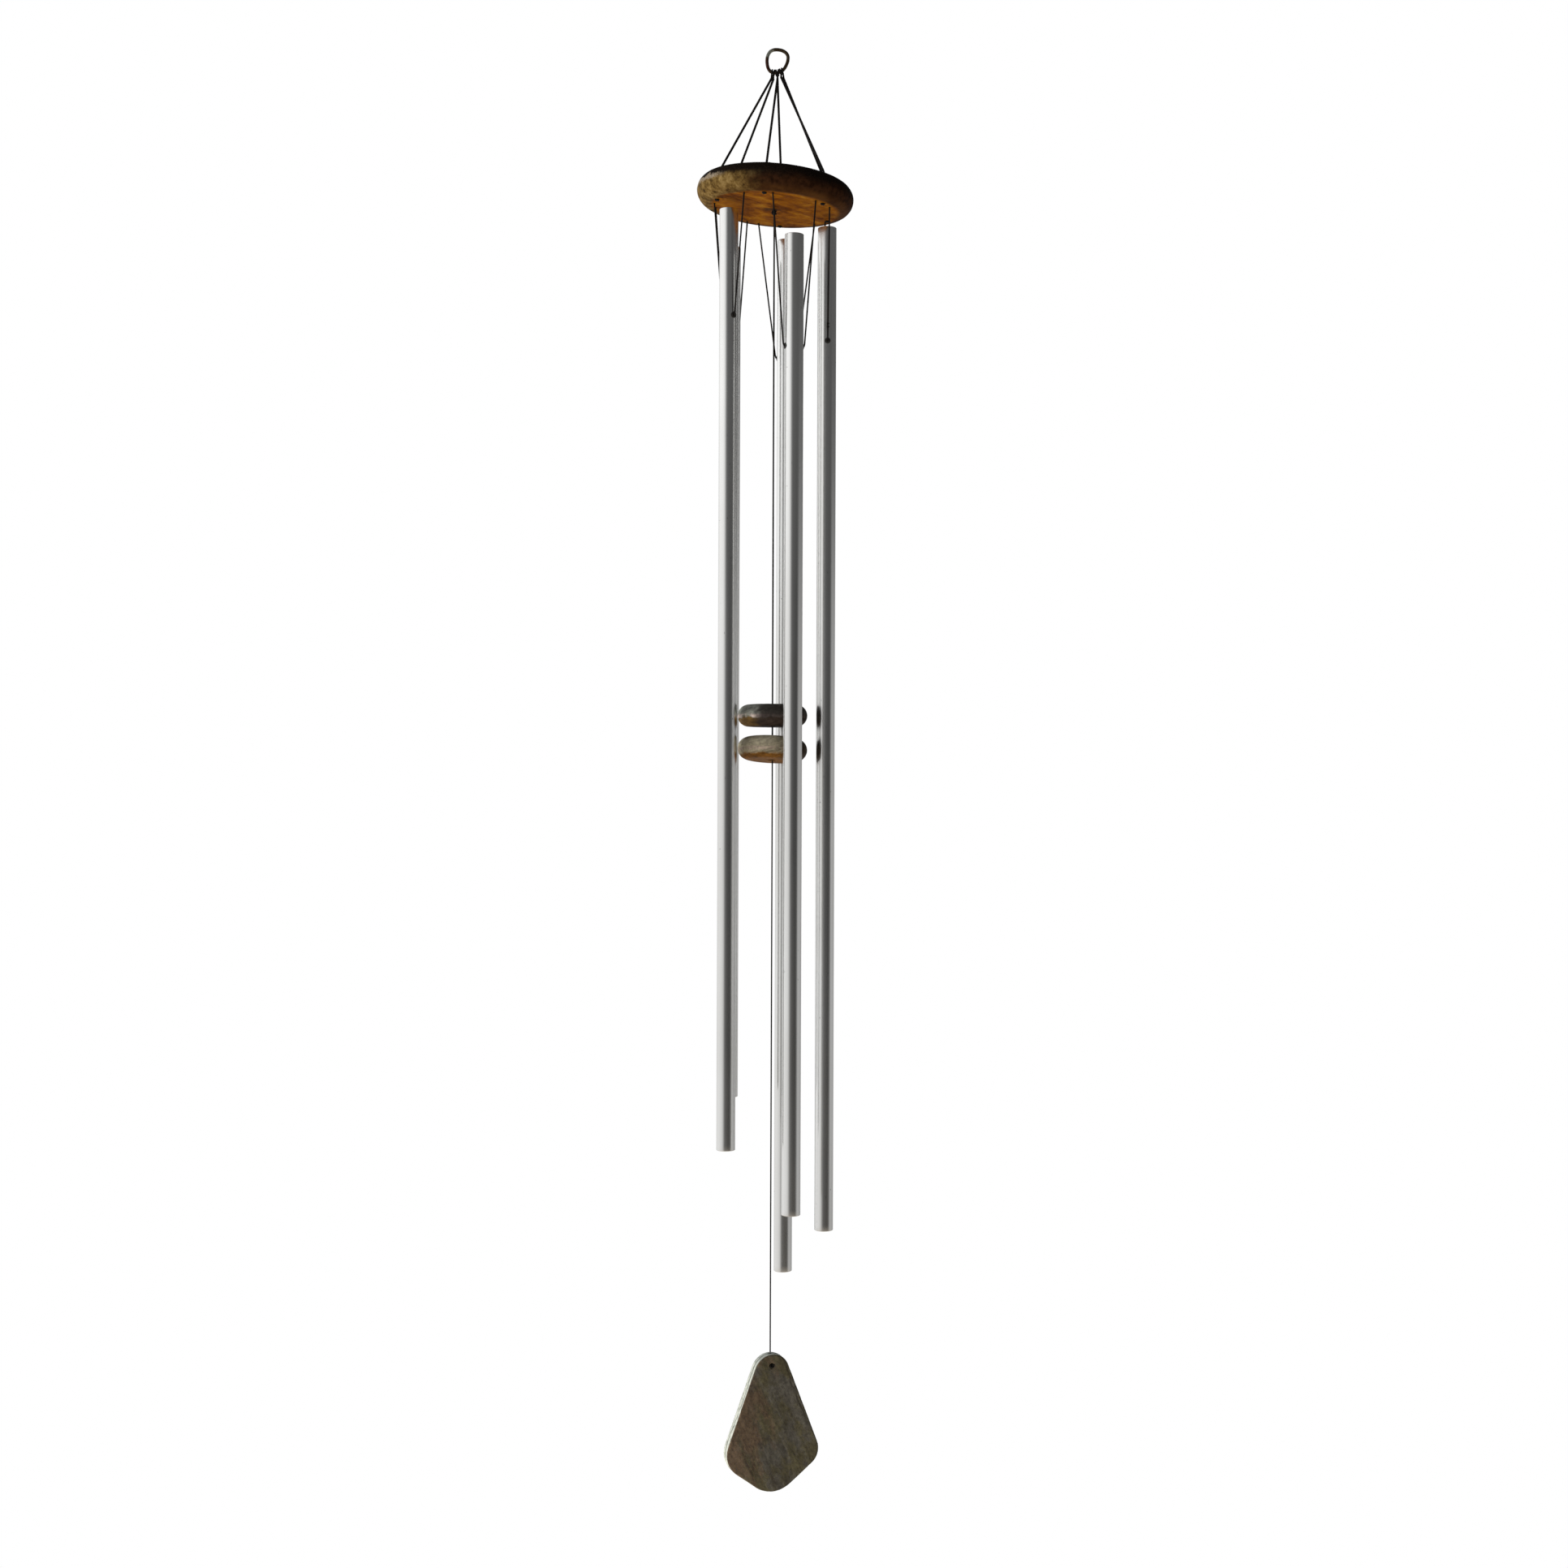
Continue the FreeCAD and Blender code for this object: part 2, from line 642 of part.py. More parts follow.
def striker(name, drop, lean):
    """A bullnosed disc, drilled up its middle and recessed below, centred on the cord at its drop."""
    body = bullnose_body(name, "striker_diameter", "striker_thickness")
    hole_sketch = sketch_on(body, "XY_Plane", f"{name}_hole")
    circle_in(hole_sketch, "Dims.striker_hole / 2", dim("striker_hole") / 2)
    through_pocket(body, hole_sketch, f"{name}_bore")
    recess_sketch = sketch_on(body, "XY_Plane", f"{name}_recess_outline")
    circle_in(recess_sketch, "Dims.striker_recess / 2", dim("striker_recess") / 2)
    recess = body.newObject("PartDesign::Pocket", f"{name}_recess")
    recess.Profile = recess_sketch
    recess.setExpression("Length", "Dims.striker_recess_depth")
    recess.Reversed = True
    body.Tip = recess
    half = Placement(Vector(0, 0, -dim("striker_thickness") / 2), Rotation())
    body.Placement = Placement(down(drop), lean).multiply(half)
    return keep(name, body)


striker("upper_striker", dim("upper_striker_drop"), Rotation())
lean_right = Rotation(DEPTH, dim("lower_striker_lean_right"))
lean_back = Rotation(ACROSS, -dim("lower_striker_lean_back"))
striker("lower_striker", dim("lower_striker_drop"), lean_right.multiply(lean_back))

keep("lower_striker_knot", barrel("lower_striker_knot", "striker_knot", "striker_knot_height",
                                  Placement(down(lower_knot_top + dim("striker_knot_height")), Rotation())))

# ---- tail cord and sail --------------------------------------------------------------

keep("tail_cord", cylinder(
    "tail_cord", "Dims.tail_cord / 2",
    "Dims.sail_top - Dims.pivot_gap - (Dims.lower_striker_drop + Dims.striker_thickness / 2"
    " - Dims.striker_recess_depth + Dims.striker_gap + Dims.striker_knot_height + Dims.cord_gap)",
    Placement(down(dim("sail_top") - dim("pivot_gap")), Rotation()),
))

sail = doc.addObject("PartDesign::Body", "sail")
kite = sketch_on(sail, "XZ_Plane", "kite_outline")
kite_corners = [
    (0.0, dim("sail_apex_rise")),
    (dim("sail_right_reach"), -dim("sail_corner_drop")),
    (dim("sail_foot_offset"), -dim("sail_foot_drop")),
    (-dim("sail_left_reach"), -dim("sail_corner_drop")),
]
sides = outline_in(kite, kite_corners)
kite.addConstraint(Sketcher.Constraint("PointOnObject", sides[0], 1, -2))
kite.addConstraint(Sketcher.Constraint("Horizontal", sides[0], 2, sides[2], 2))
for kind, ends, size, expression in (
    ("DistanceY", (-1, 1, sides[0], 1), dim("sail_apex_rise"), "Dims.sail_apex_rise"),
    ("DistanceX", (-1, 1, sides[0], 2), dim("sail_right_reach"), "Dims.sail_right_reach"),
    ("DistanceX", (sides[2], 2, -1, 1), dim("sail_left_reach"), "Dims.sail_left_reach"),
    ("DistanceX", (-1, 1, sides[2], 1), dim("sail_foot_offset"), "Dims.sail_foot_offset"),
    ("DistanceY", (sides[0], 2, -1, 1), dim("sail_corner_drop"), "Dims.sail_corner_drop"),
    ("DistanceY", (sides[2], 1, -1, 1), dim("sail_foot_drop"), "Dims.sail_foot_drop"),
):
    bind(kite, Sketcher.Constraint(kind, *ends, size), expression)
board = sail.newObject("PartDesign::Pad", "sail_board")
board.Profile = kite
board.setExpression("Length", "Dims.sail_thickness")
board.Midplane = True
sail.Tip = board


def near(point, across, height):
    return abs(point.x - across) < NEARBY and abs(point.z - height) < NEARBY


def corner_edge(across, height):
    """Chooses the board's edge that runs through its thickness at one corner."""
    return lambda edge: all(near(v.Point, across, height) for v in edge.Vertexes)


for label, corners, radius in (
    ("sail_top_corner", kite_corners[:1], "sail_top_round"),
    ("sail_foot_corner", kite_corners[2:3], "sail_foot_round"),
    ("sail_right_corner", kite_corners[1:2], "sail_right_round"),
    ("sail_left_corner", kite_corners[3:], "sail_left_round"),
):
    round_edges(sail, label,
                lambda edge, corners=corners: any(corner_edge(*c)(edge) for c in corners),
                f"Dims.{radius}")


def on_a_face(edge):
    """Chooses the rims of the board's two faces."""
    half = dim("sail_thickness") / 2
    first, last = edge.Vertexes[0].Point.y, edge.Vertexes[-1].Point.y
    return abs(abs(first) - half) < TOUCHING and abs(first - last) < TOUCHING


round_edges(sail, "sail_face_rims", on_a_face, "Dims.sail_edge_round")
eye = sketch_on(sail, "XZ_Plane", "sail_eye_outline")
circle_in(eye, "Dims.sail_eye / 2", dim("sail_eye") / 2, -dim("sail_eye_drop"), "-Dims.sail_eye_drop")
through_pocket(sail, eye, "sail_eye")
cord_hole = sketch_on(sail, "XY_Plane", "sail_cord_hole_outline")
circle_in(cord_hole, "Dims.sail_cord_hole / 2", dim("sail_cord_hole") / 2)
bore = sail.newObject("PartDesign::Pocket", "sail_cord_hole")
bore.Profile = cord_hole
bore.setExpression("Length", "Dims.sail_eye_drop")
sail.Tip = bore
sail_place = Placement(down(dim("sail_top")), Rotation(UP, dim("sail_yaw")))
sail.Placement = sail_place
keep("sail", sail)

# The cord's end inside the sail: down the edge hole to a knot lying in the eye.
eye_centre = -UP * dim("sail_eye_drop")
knot_stub = cylinder("sail_knot_stub", "Dims.tail_cord / 2",
                     "Dims.sail_eye_drop - 2 * Dims.sail_stub_gap",
                     Placement(eye_centre + UP * dim("sail_stub_gap"), Rotation()))
roll_front = -DEPTH * (dim("sail_thickness") / 2 + dim("sail_knot_proud"))
knot_roll = cylinder("sail_knot_roll", "Dims.sail_eye / 2 - Dims.sail_knot_gap",
                     "Dims.sail_thickness / 2 + Dims.sail_knot_proud + Dims.tail_cord",
                     Placement(eye_centre + roll_front, Rotation(UP, DEPTH)))
sail_knot = doc.addObject("Part::MultiFuse", "sail_knot")
sail_knot.Shapes = [knot_stub, knot_roll]
sail_knot.Placement = sail_place
keep("sail_knot", sail_knot)

# ---- check and write -----------------------------------------------------------------

doc.recompute()
for made in doc.Objects:
    if {"Invalid", "Error"} & set(made.State):
        raise RuntimeError(f"{made.Name} failed: {made.State}")
os.makedirs("parts", exist_ok=True)
for name, made in nodes.items():
    shape = made.Shape
    if shape.isNull() or not shape.isValid():
        raise RuntimeError(f"{name} has no valid shape")
    shape.exportStep(f"parts/{name}.step")
    print(f"{name}: {len(shape.Solids)} solid(s), {shape.Volume:.0f} mm3")
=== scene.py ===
import math

import bmesh
import bpy
import numpy as np
from mathutils import Matrix, Vector, noise


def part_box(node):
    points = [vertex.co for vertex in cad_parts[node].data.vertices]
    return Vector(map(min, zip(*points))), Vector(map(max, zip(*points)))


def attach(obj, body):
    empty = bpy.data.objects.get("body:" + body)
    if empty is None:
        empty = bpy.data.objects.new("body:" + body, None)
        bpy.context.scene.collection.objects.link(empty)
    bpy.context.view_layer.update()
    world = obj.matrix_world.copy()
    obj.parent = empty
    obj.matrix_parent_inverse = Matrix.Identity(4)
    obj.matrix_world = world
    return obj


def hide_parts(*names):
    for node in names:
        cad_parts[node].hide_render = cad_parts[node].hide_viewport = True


# A hanging wind chime: ring, tied cords, weathered wooden disc, laced aluminium tubes,
# two wooden strikers and a wooden sail. Metres, in the frame's own axes: +Z up, -Y front.

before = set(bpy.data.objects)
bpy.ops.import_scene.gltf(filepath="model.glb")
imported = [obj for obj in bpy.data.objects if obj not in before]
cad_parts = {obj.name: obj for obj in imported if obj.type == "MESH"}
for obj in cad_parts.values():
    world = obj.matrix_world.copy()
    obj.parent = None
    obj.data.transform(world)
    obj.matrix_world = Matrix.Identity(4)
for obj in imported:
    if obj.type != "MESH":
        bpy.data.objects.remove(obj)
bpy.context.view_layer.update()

MM = 0.001
UP = Vector((0, 0, 1))

# ---- sizes and places ------------------------------------------------

WIRE = 3.4 * MM
STRAND = 2.5 * MM            # the cords from the ring to the disc
LACE = 1.7 * MM              # from the disc to the tubes
LINE = 1.8 * MM              # from the disc to the strikers
TAIL_LINE = 1.5 * MM         # from the strikers to the sail
HITCH_CORD = 1.7 * MM        # the strands' cord, pulled thin where it goes round the wire

DISC_DIAMETER = 160 * MM
DISC_THICKNESS = 27.3 * MM
DISC_TILT = Matrix.Rotation(math.radians(4.4), 4, "Y") @ Matrix.Rotation(math.radians(1.2), 4, "X")
DISC_UNDERSIDE = Vector((-1.2, -1.15, -161.8)) * MM
HOLE_CIRCLE = 61.3 * MM
CENTRE_HOLE = 3.0 * MM
LACING_HOLE = 2.4 * MM
STRAND_HOLE = 3.4 * MM
DISC_PLACE = Matrix.Translation(DISC_UNDERSIDE) @ DISC_TILT
AXIS = Vector((DISC_UNDERSIDE.x, DISC_UNDERSIDE.y, 0))

TUBE_OUTSIDE = 19.05 * MM
TUBE_WALL = 1.6 * MM
TUBE_HOLE = 4.9 * MM
TUBE_HOLE_SHARE = 0.114      # how far down its cord hole is, as a share of its length
GROMMET_TURN = 11.2 * MM     # how far out from the tube's middle its cord turns upwards

STRIKER_DIAMETER = 71 * MM
STRIKER_THICKNESS = 22.6 * MM
STRIKER_HOLE = 4.6 * MM
STRIKER_RECESS = 8.4 * MM
STRIKER_RECESS_DEPTH = 5 * MM
UPPER_STRIKER = AXIS - UP * (678.1 * MM)
LOWER_STRIKER = AXIS - UP * (712.4 * MM)
LOWER_LEAN = Matrix.Rotation(math.radians(2.3), 4, "Y") @ Matrix.Rotation(math.radians(-6.2), 4, "X")

SAIL_TOP = AXIS - UP * (1328 * MM)
SAIL_THICKNESS = 11.6 * MM
SAIL_YAW = math.radians(20)
SAIL_THROUGH = Matrix.Rotation(SAIL_YAW, 3, "Z") @ Vector((0, 1, 0))
SAIL_EYE = SAIL_TOP - UP * (11.5 * MM)

# Each tube: name, length, how far its top is down, and the angles of its holes in the disc.
TUBES = [
    ("front_left", 945.0, 170.6, -175, -119),
    ("front", 973.0, 202.4, -91, -47),
    ("right", 1023.0, 179.9, -24, 31),
    ("back", 1077.5, 179.2, 47, 106),
    ("back_left", 879.5, 192.1, 118, 170),
]

# Each hitch on the ring: name, across, up, its slope, how far its back strand starts to the
# right of its front one, and the angles of the disc holes that the two go down to.
HITCHES = [
    ("left", -3.0, -21.75, -10, 1.8, -160, 140),
    ("middle", 1.3, -21.8, 5, 0.0, -99, 85),
    ("right", 5.4, -20.3, 21, 2.4, -37, 26),
]

STRAND_HALF_GAP = 1.35 * MM  # from a hitch's middle to each of its two strands, in depth
STRAND_GAP = 0.8 * MM        # from a hitch's foot down to its strands' tops, at the ring's middle
STRAND_STAGGER = 0.14        # and further down by this share of the way across

HITCH_REACH = 3.15 * MM      # from a hitch's middle to the middle of the cord round the wire
HITCH_TAIL = 1.95 * MM       # from there down to where the strands start
HITCH_ENTRY = 2.6 * MM       # how far above the strands' tops its ends turn down
HITCH_OVERLAP = 0.8 * MM     # how far its ends run on inside the strands

RING_CORNERS = [
    (-5.0, 1.7), (5.6, 1.7), (12.6, -3.2), (11.9, -12.0),
    (6.3, -21.2), (-3.6, -22.4), (-8.6, -17.8), (-9.6, -6.0),
]


def polar(radius, degrees, height=0.0):
    angle = math.radians(degrees)
    return Vector((radius * math.cos(angle), radius * math.sin(angle), height))


def hitch_places():
    """Each hitch: name, middle, direction along the wire, the strands' tops, and their holes' angles."""
    for name, across, height, slope, spread, front, back in HITCHES:
        angle = math.radians(slope)
        centre = Vector((across, 0, height)) * MM
        along = Vector((math.cos(angle), 0, math.sin(angle)))
        under = Vector((math.sin(angle), 0, -math.cos(angle)))
        foot = centre + under * HITCH_REACH - UP * HITCH_TAIL
        top = foot - UP * (STRAND_GAP + STRAND_STAGGER * abs(foot.x))
        tops = [top + side * Vector((spread / 2 * MM, STRAND_HALF_GAP, 0)) for side in (-1, 1)]
        yield name, centre, along, tops, (front, back)


# ---- mesh building blocks --------------------------------------------


def spline_line(route, closed=False):
    """The smooth line through a route: a NURBS spline with the route's points as its controls."""
    curve = bpy.data.curves.new("route", "CURVE")
    curve.dimensions = "3D"
    curve.resolution_u = 40
    spline = curve.splines.new("NURBS")
    spline.points.add(len(route) - 1)
    for control, place in zip(spline.points, route):
        control.co = (*place, 1.0)
    spline.use_cyclic_u = closed
    spline.order_u = 3
    spline.use_endpoint_u = not closed
    holder = bpy.data.objects.new("route", curve)
    mesh = bpy.data.meshes.new_from_object(holder)
    line = np.array([v.co for v in mesh.vertices], float)
    bpy.data.meshes.remove(mesh)
    bpy.data.curves.remove(curve)
    return line


def spaced(line, step, closed=False):
    """The line again, with its points evenly spaced about step apart."""
    if closed:
        line = np.vstack([line, line[:1]])
    along = np.concatenate([[0], np.cumsum(np.linalg.norm(np.diff(line, axis=0), axis=1))])
    at = np.linspace(0, along[-1], max(3, round(along[-1] / step) + 1))
    even = np.stack([np.interp(at, along, line[:, k]) for k in range(3)], axis=1)
    return even[:-1] if closed else even


def tube_rings(line, radius, sides, closed=False):
    """Rings of points round a line. The radius is one number, or one for each point of each ring."""
    ahead, behind = np.roll(line, -1, axis=0), np.roll(line, 1, axis=0)
    if not closed:
        ahead[-1], behind[0] = line[-1], line[0]
    tangent = ahead - behind
    tangent /= np.linalg.norm(tangent, axis=1)[:, None]
    aside = np.cross(tangent[0], (0.31, 0.95, 0.12))
    normals = []
    for t in tangent:
        aside = aside - t * (aside @ t)
        aside = aside / np.linalg.norm(aside)
        normals.append(aside)
    normal = np.array(normals)
    binormal = np.cross(tangent, normal)
    angle = np.linspace(0, 2 * math.pi, sides, endpoint=False)[None, :]
    if closed:
        end = normal[-1] - tangent[0] * (normal[-1] @ tangent[0])
        slip = math.atan2(end @ binormal[0], end @ normal[0])
        angle = angle - slip * np.linspace(0, 1, len(line))[:, None]
    around = np.cos(angle)[..., None] * normal[:, None, :] + np.sin(angle)[..., None] * binormal[:, None, :]
    radius = np.broadcast_to(np.asarray(radius, float), (len(line), sides))
    return line[:, None, :] + radius[..., None] * around


def skin(rings, closed=False):
    """(points, faces) of the surface over the rings, capped where it isn't closed."""
    count, sides = rings.shape[:2]
    faces = []
    for i in range(count if closed else count - 1):
        here, there = i * sides, (i + 1) % count * sides
        for j in range(sides):
            k = (j + 1) % sides
            faces.append((here + j, here + k, there + k, there + j))
    if not closed:
        faces.append(tuple(range(sides))[::-1])
        faces.append(tuple((count - 1) * sides + j for j in range(sides)))
    return rings.reshape(-1, 3), faces


def lathe(profile, segments, place=Matrix(), closed=False):
    """(points, faces) of a profile of (radius, height) pairs turned about the place's Z axis."""
    profile = np.array(profile, float)
    angle = np.linspace(0, 2 * math.pi, segments, endpoint=False)[:, None]
    points = np.stack([profile[:, 0] * np.cos(angle), profile[:, 0] * np.sin(angle),
                       np.broadcast_to(profile[:, 1], (segments, len(profile)))], axis=-1)
    count = len(profile)
    faces = []
    for i in range(segments):
        here, there = i * count, (i + 1) % segments * count
        for j in range(count if closed else count - 1):
            k = (j + 1) % count
            faces.append((here + j, there + j, there + k, here + k))
    return moved(points.reshape(-1, 3), place), faces


def moved(points, place):
    turn = np.array(place.to_3x3(), float)
    return points @ turn.T + np.array(place.translation, float)


def arc(centre, radius, start, stop, count):
    """(radius, height) pairs along an arc, its angles in degrees."""
    return [(centre[0] + radius * math.cos(math.radians(a)), centre[1] + radius * math.sin(math.radians(a)))
            for a in np.linspace(start, stop, count)]


def run(start, stop, count):
    """(radius, height) pairs along a straight line, without its last point."""
    return [tuple(p) for p in np.linspace(start, stop, count, endpoint=False)]


def made(name, shapes, sharp=40):
    """An object of one or more (points, faces) shapes, its faces turned outwards and smooth."""
    points, faces = [], []
    for some_points, some_faces in shapes:
        faces += [tuple(len(points) + i for i in face) for face in some_faces]
        points += [tuple(p) for p in some_points]
    mesh = bpy.data.meshes.new(name)
    mesh.from_pydata(points, [], faces)
    tidy = bmesh.new()
    tidy.from_mesh(mesh)
    bmesh.ops.remove_doubles(tidy, verts=tidy.verts, dist=1e-6)
    bmesh.ops.recalc_face_normals(tidy, faces=tidy.faces)
    tidy.to_mesh(mesh)
    tidy.free()
    mesh.polygons.foreach_set("use_smooth", [True] * len(mesh.polygons))
    mesh.set_sharp_from_angle(angle=math.radians(sharp))
    piece = bpy.data.objects.new(name, mesh)
    bpy.context.scene.collection.objects.link(piece)
    return piece


def modify(piece, kind, **settings):
    """Adds a modifier to the piece."""
    modifier = piece.modifiers.new(kind.lower(), kind)
    for setting, value in settings.items():
        setattr(modifier, setting, value)


def apply_modifiers(piece):
    bpy.context.view_layer.update()
    result = bpy.data.meshes.new_from_object(piece.evaluated_get(bpy.context.evaluated_depsgraph_get()))
    piece.modifiers.clear()
    piece.data = result


def cut(piece, cutter):
    """Takes the cutter's volume out of the piece, and deletes the cutter."""
    modify(piece, "BOOLEAN", operation="DIFFERENCE", solver="MANIFOLD", object=cutter)
    apply_modifiers(piece)
    bpy.data.objects.remove(cutter)


def displace(piece, height):
    """Moves each point along its normal by height(point, normal)."""
    moves = [(v, v.normal.copy() * height(v.co, v.normal)) for v in piece.data.vertices]
    for vertex, move in moves:
        vertex.co += move
    piece.data.update()


def placed(piece, material, body, slot, *nodes):
    """Gives a piece its material and its body, and hides the nodes that it stands for. The slot is not used.
    """
    piece.data.materials.clear()
    piece.data.materials.append(material)
    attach(piece, body)
    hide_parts(*nodes)
    return piece


# ---- cord and knots --------------------------------------------------

BRAID_STEP = 0.5 * MM
BRAID_PITCH = 2.4 * MM
BRAID_SIDES = 16
BRAID_COLUMNS = 3
BRAID_RELIEF = 0.06


def braided(line, diameter, closed=False, waist=None):
    """A braided cord along a line: a tube with the braid's staggered bumps.

    A waist is the cord's diameter where it is pulled thin, away from its two ends.
    """
    line = spaced(line, BRAID_STEP, closed)
    along = np.arange(len(line)) * BRAID_STEP
    if waist:
        from_end = np.minimum(along, along[-1] - along)[:, None]
        diameter = waist + (diameter - waist) * np.clip(1 - from_end / (2 * diameter), 0, 1)
    around = 2 * math.pi * np.arange(BRAID_SIDES) / BRAID_SIDES
    bumps = np.cos(2 * math.pi * along / BRAID_PITCH)[:, None] * np.cos(BRAID_COLUMNS * around)[None, :]
    radius = diameter / 2 * (1 - BRAID_RELIEF + BRAID_RELIEF * bumps)
    return skin(tube_rings(line, radius, BRAID_SIDES, closed), closed)


def knot(place, width, height, cord, wraps=2, lobes=3):
    """A tight knot: the cord wound round the place's Z axis, over and under itself."""
    t = np.linspace(0, 2 * math.pi, 400, endpoint=False)
    room = width / 2 - cord / 2
    out = room * (0.6 + 0.4 * np.cos(lobes * t))
    line = np.stack([out * np.cos(wraps * t), out * np.sin(wraps * t),
                     (height - cord) / 2 * np.sin(lobes * t)], axis=1)
    return braided(moved(line, place), cord, closed=True)


def stub(route, cord, waist=None):
    """A short end of cord along a route."""
    return braided(spline_line(route), cord, waist=waist)


def declared(name, route, diameter, body, node):
    """A taut cord along its route, from the first point to the last."""
    line = spaced(spline_line(route), BRAID_STEP)
    cord = placed(made(name, [braided(line, diameter)]), CORD, body, "black_cord", node)


def tied(name, shapes, body, node):
    """A piece of the black cord that isn't one taut run: knots, hitches and loose ends."""
    placed(made(name, shapes), CORD, body, "black_cord", node)


def at(point, towards=UP):
    """A placement at a point, its Z axis along a direction."""
    return Matrix.Translation(point) @ towards.to_track_quat("Z", "Y").to_matrix().to_4x4()


# ---- materials -------------------------------------------------------


def feed(socket, value):
    """Sets an input to a value, or links another node's output to it."""
    if isinstance(value, bpy.types.NodeSocket):
        socket.id_data.links.new(value, socket)
    elif isinstance(value, (int, float)) and hasattr(socket.default_value, "__len__"):
        socket.default_value = [value] * len(socket.default_value)
    elif hasattr(value, "__len__") and len(value) == 3 and len(socket.default_value) == 4:
        socket.default_value = (*value, 1.0)
    else:
        socket.default_value = value


def add_node(tree, kind, inputs, **settings):
    """A new node with its settings, and its inputs by name or number."""
    step = tree.nodes.new(kind)
    for setting, value in settings.items():
        setattr(step, setting, value)
    for socket, value in inputs.items():
        feed(step.inputs[socket], value)
    return step


def set_stops(step, stops):
    """Gives a colour ramp its stops, each a place from 0 to 1 and a colour."""
    elements = step.color_ramp.elements
    while len(elements) < len(stops):
        elements.new(0.5)
    for element, (where, colour) in zip(elements, stops):
        element.position = where
        element.color = (*colour, 1.0)
    return step.outputs["Color"]


class Graph:
    """A material's nodes, with a Principled shader that ends it."""

    def __init__(self, name, **sockets):
        self.material = bpy.data.materials.new(name)
        self.material.use_nodes = True
        self.tree = self.material.node_tree
        self.shader = self.tree.nodes["Principled BSDF"]
        for socket, value in sockets.items():
            self.shader.inputs[socket.replace("_", " ")].default_value = value
        self.place = self.node("ShaderNodeTexCoord", {}).outputs["Object"]

    def node(self, kind, inputs, **settings):
        return add_node(self.tree, kind, inputs, **settings)

    def math(self, operation, a, b=0.0):
        return self.node("ShaderNodeMath", {0: a, 1: b}, operation=operation).outputs[0]

    def vector(self, operation, a, b):
        return self.node("ShaderNodeVectorMath", {0: a, 1: b}, operation=operation).outputs

    def plus(self, a, b):
        return self.math("ADD", a, b)

    def less(self, a, b):
        return self.math("SUBTRACT", a, b)

    def times(self, a, b):
        return self.math("MULTIPLY", a, b)

    def uneven(self, value, noise_value, amount):
        """The value, moved up and down by the noise, by the amount in all."""
        return self.plus(value, self.times(self.less(noise_value, 0.5), amount))

    def dot(self, direction):
        """How far along a direction the surface point lies."""
        return self.vector("DOT_PRODUCT", self.place, direction)["Value"]

    def away(self, centre, squeeze=(1, 1, 1)):
        """The distance from a centre, with each axis squeezed by its own factor."""
        scaled = self.vector("MULTIPLY", self.vector("SUBTRACT", self.place, centre)[0], squeeze)[0]
        return self.node("ShaderNodeVectorMath", {0: scaled}, operation="LENGTH").outputs["Value"]

    def ramp(self, value, low, high):
        """0 where the value is at low, 1 where it is at high, smoothly between."""
        return self.node("ShaderNodeMapRange", {"Value": value, "From Min": low, "From Max": high},
                         interpolation_type="SMOOTHSTEP").outputs["Result"]

    def noise(self, scale, detail=4.0, roughness=0.55, stretch=None, turn=(0, 0, 0), distortion=0.0):
        """Noise with this many cells a metre, its cells drawn out along their own turned axes."""
        vector = self.place
        if stretch or any(turn):
            vector = self.node("ShaderNodeMapping", {"Vector": vector, "Rotation": turn,
                                                     "Scale": stretch or (1, 1, 1)},
                               vector_type="TEXTURE").outputs["Vector"]
        return self.node("ShaderNodeTexNoise", {
            "Vector": vector, "Scale": scale, "Detail": detail, "Roughness": roughness,
            "Distortion": distortion}).outputs["Fac"]

    def cells(self, scale):
        """The distance to the nearest of many scattered points, this many a metre."""
        return self.node("ShaderNodeTexVoronoi", {"Vector": self.place, "Scale": scale}).outputs["Distance"]

    def mix(self, factor, a, b, blend="MIX"):
        return self.node("ShaderNodeMix", {0: factor, 6: a, 7: b}, data_type="RGBA",
                         blend_type=blend).outputs[2]

    def colours(self, value, *stops):
        return set_stops(self.node("ShaderNodeValToRGB", {0: value}), stops)

    def greys(self, value, *stops):
        return self.colours(value, *((where, (grey,) * 3) for where, grey in stops))

    def bump(self, height, strength, distance):
        inputs = {"Height": height, "Strength": strength, "Distance": distance}
        feed(self.shader.inputs["Normal"], self.node("ShaderNodeBump", inputs).outputs[0])

    def finish(self, colour, roughness=None):
        feed(self.shader.inputs["Base Color"], colour)
        if roughness:
            feed(self.shader.inputs["Roughness"], roughness)
        return self.material


def cord_material():
    g = Graph("black_braid", Roughness=0.78, Specular_IOR_Level=0.2, Sheen_Weight=0.04, Sheen_Roughness=0.4)
    fuzz = g.noise(2600, detail=3)
    fade = g.noise(60, detail=2)
    yarn = g.colours(fuzz, (0.3, (0.0030, 0.0026, 0.0024)), (0.75, (0.013, 0.011, 0.010)))
    colour = g.mix(g.ramp(fade, 0.5, 0.75), yarn, (0.018, 0.015, 0.012))
    g.bump(fuzz, 0.5, 0.15 * MM)
    return g.finish(colour)


def aluminium_material():
    g = Graph("drawn_aluminium", Metallic=1.0)
    drawn = g.noise(900, detail=3, stretch=(1, 1, 80))
    smear = g.noise(14, detail=4, stretch=(1, 1, 3))
    pits = g.ramp(g.cells(85), 0.055, 0.03)
    specks = g.ramp(g.cells(260), 0.07, 0.03)
    clean = g.colours(smear, (0.3, (0.76, 0.755, 0.735)), (0.7, (0.86, 0.86, 0.85)))
    spotted = g.mix(g.times(specks, 0.35), clean, (0.30, 0.29, 0.26))
    colour = g.mix(g.times(pits, 0.8), spotted, (0.10, 0.095, 0.08))
    rough = g.plus(g.times(smear, 0.10), g.times(drawn, 0.10))
    relief = g.less(g.times(drawn, 0.25), pits)
    g.bump(relief, 0.12, 0.05 * MM)
    return g.finish(colour, g.plus(rough, 0.12))


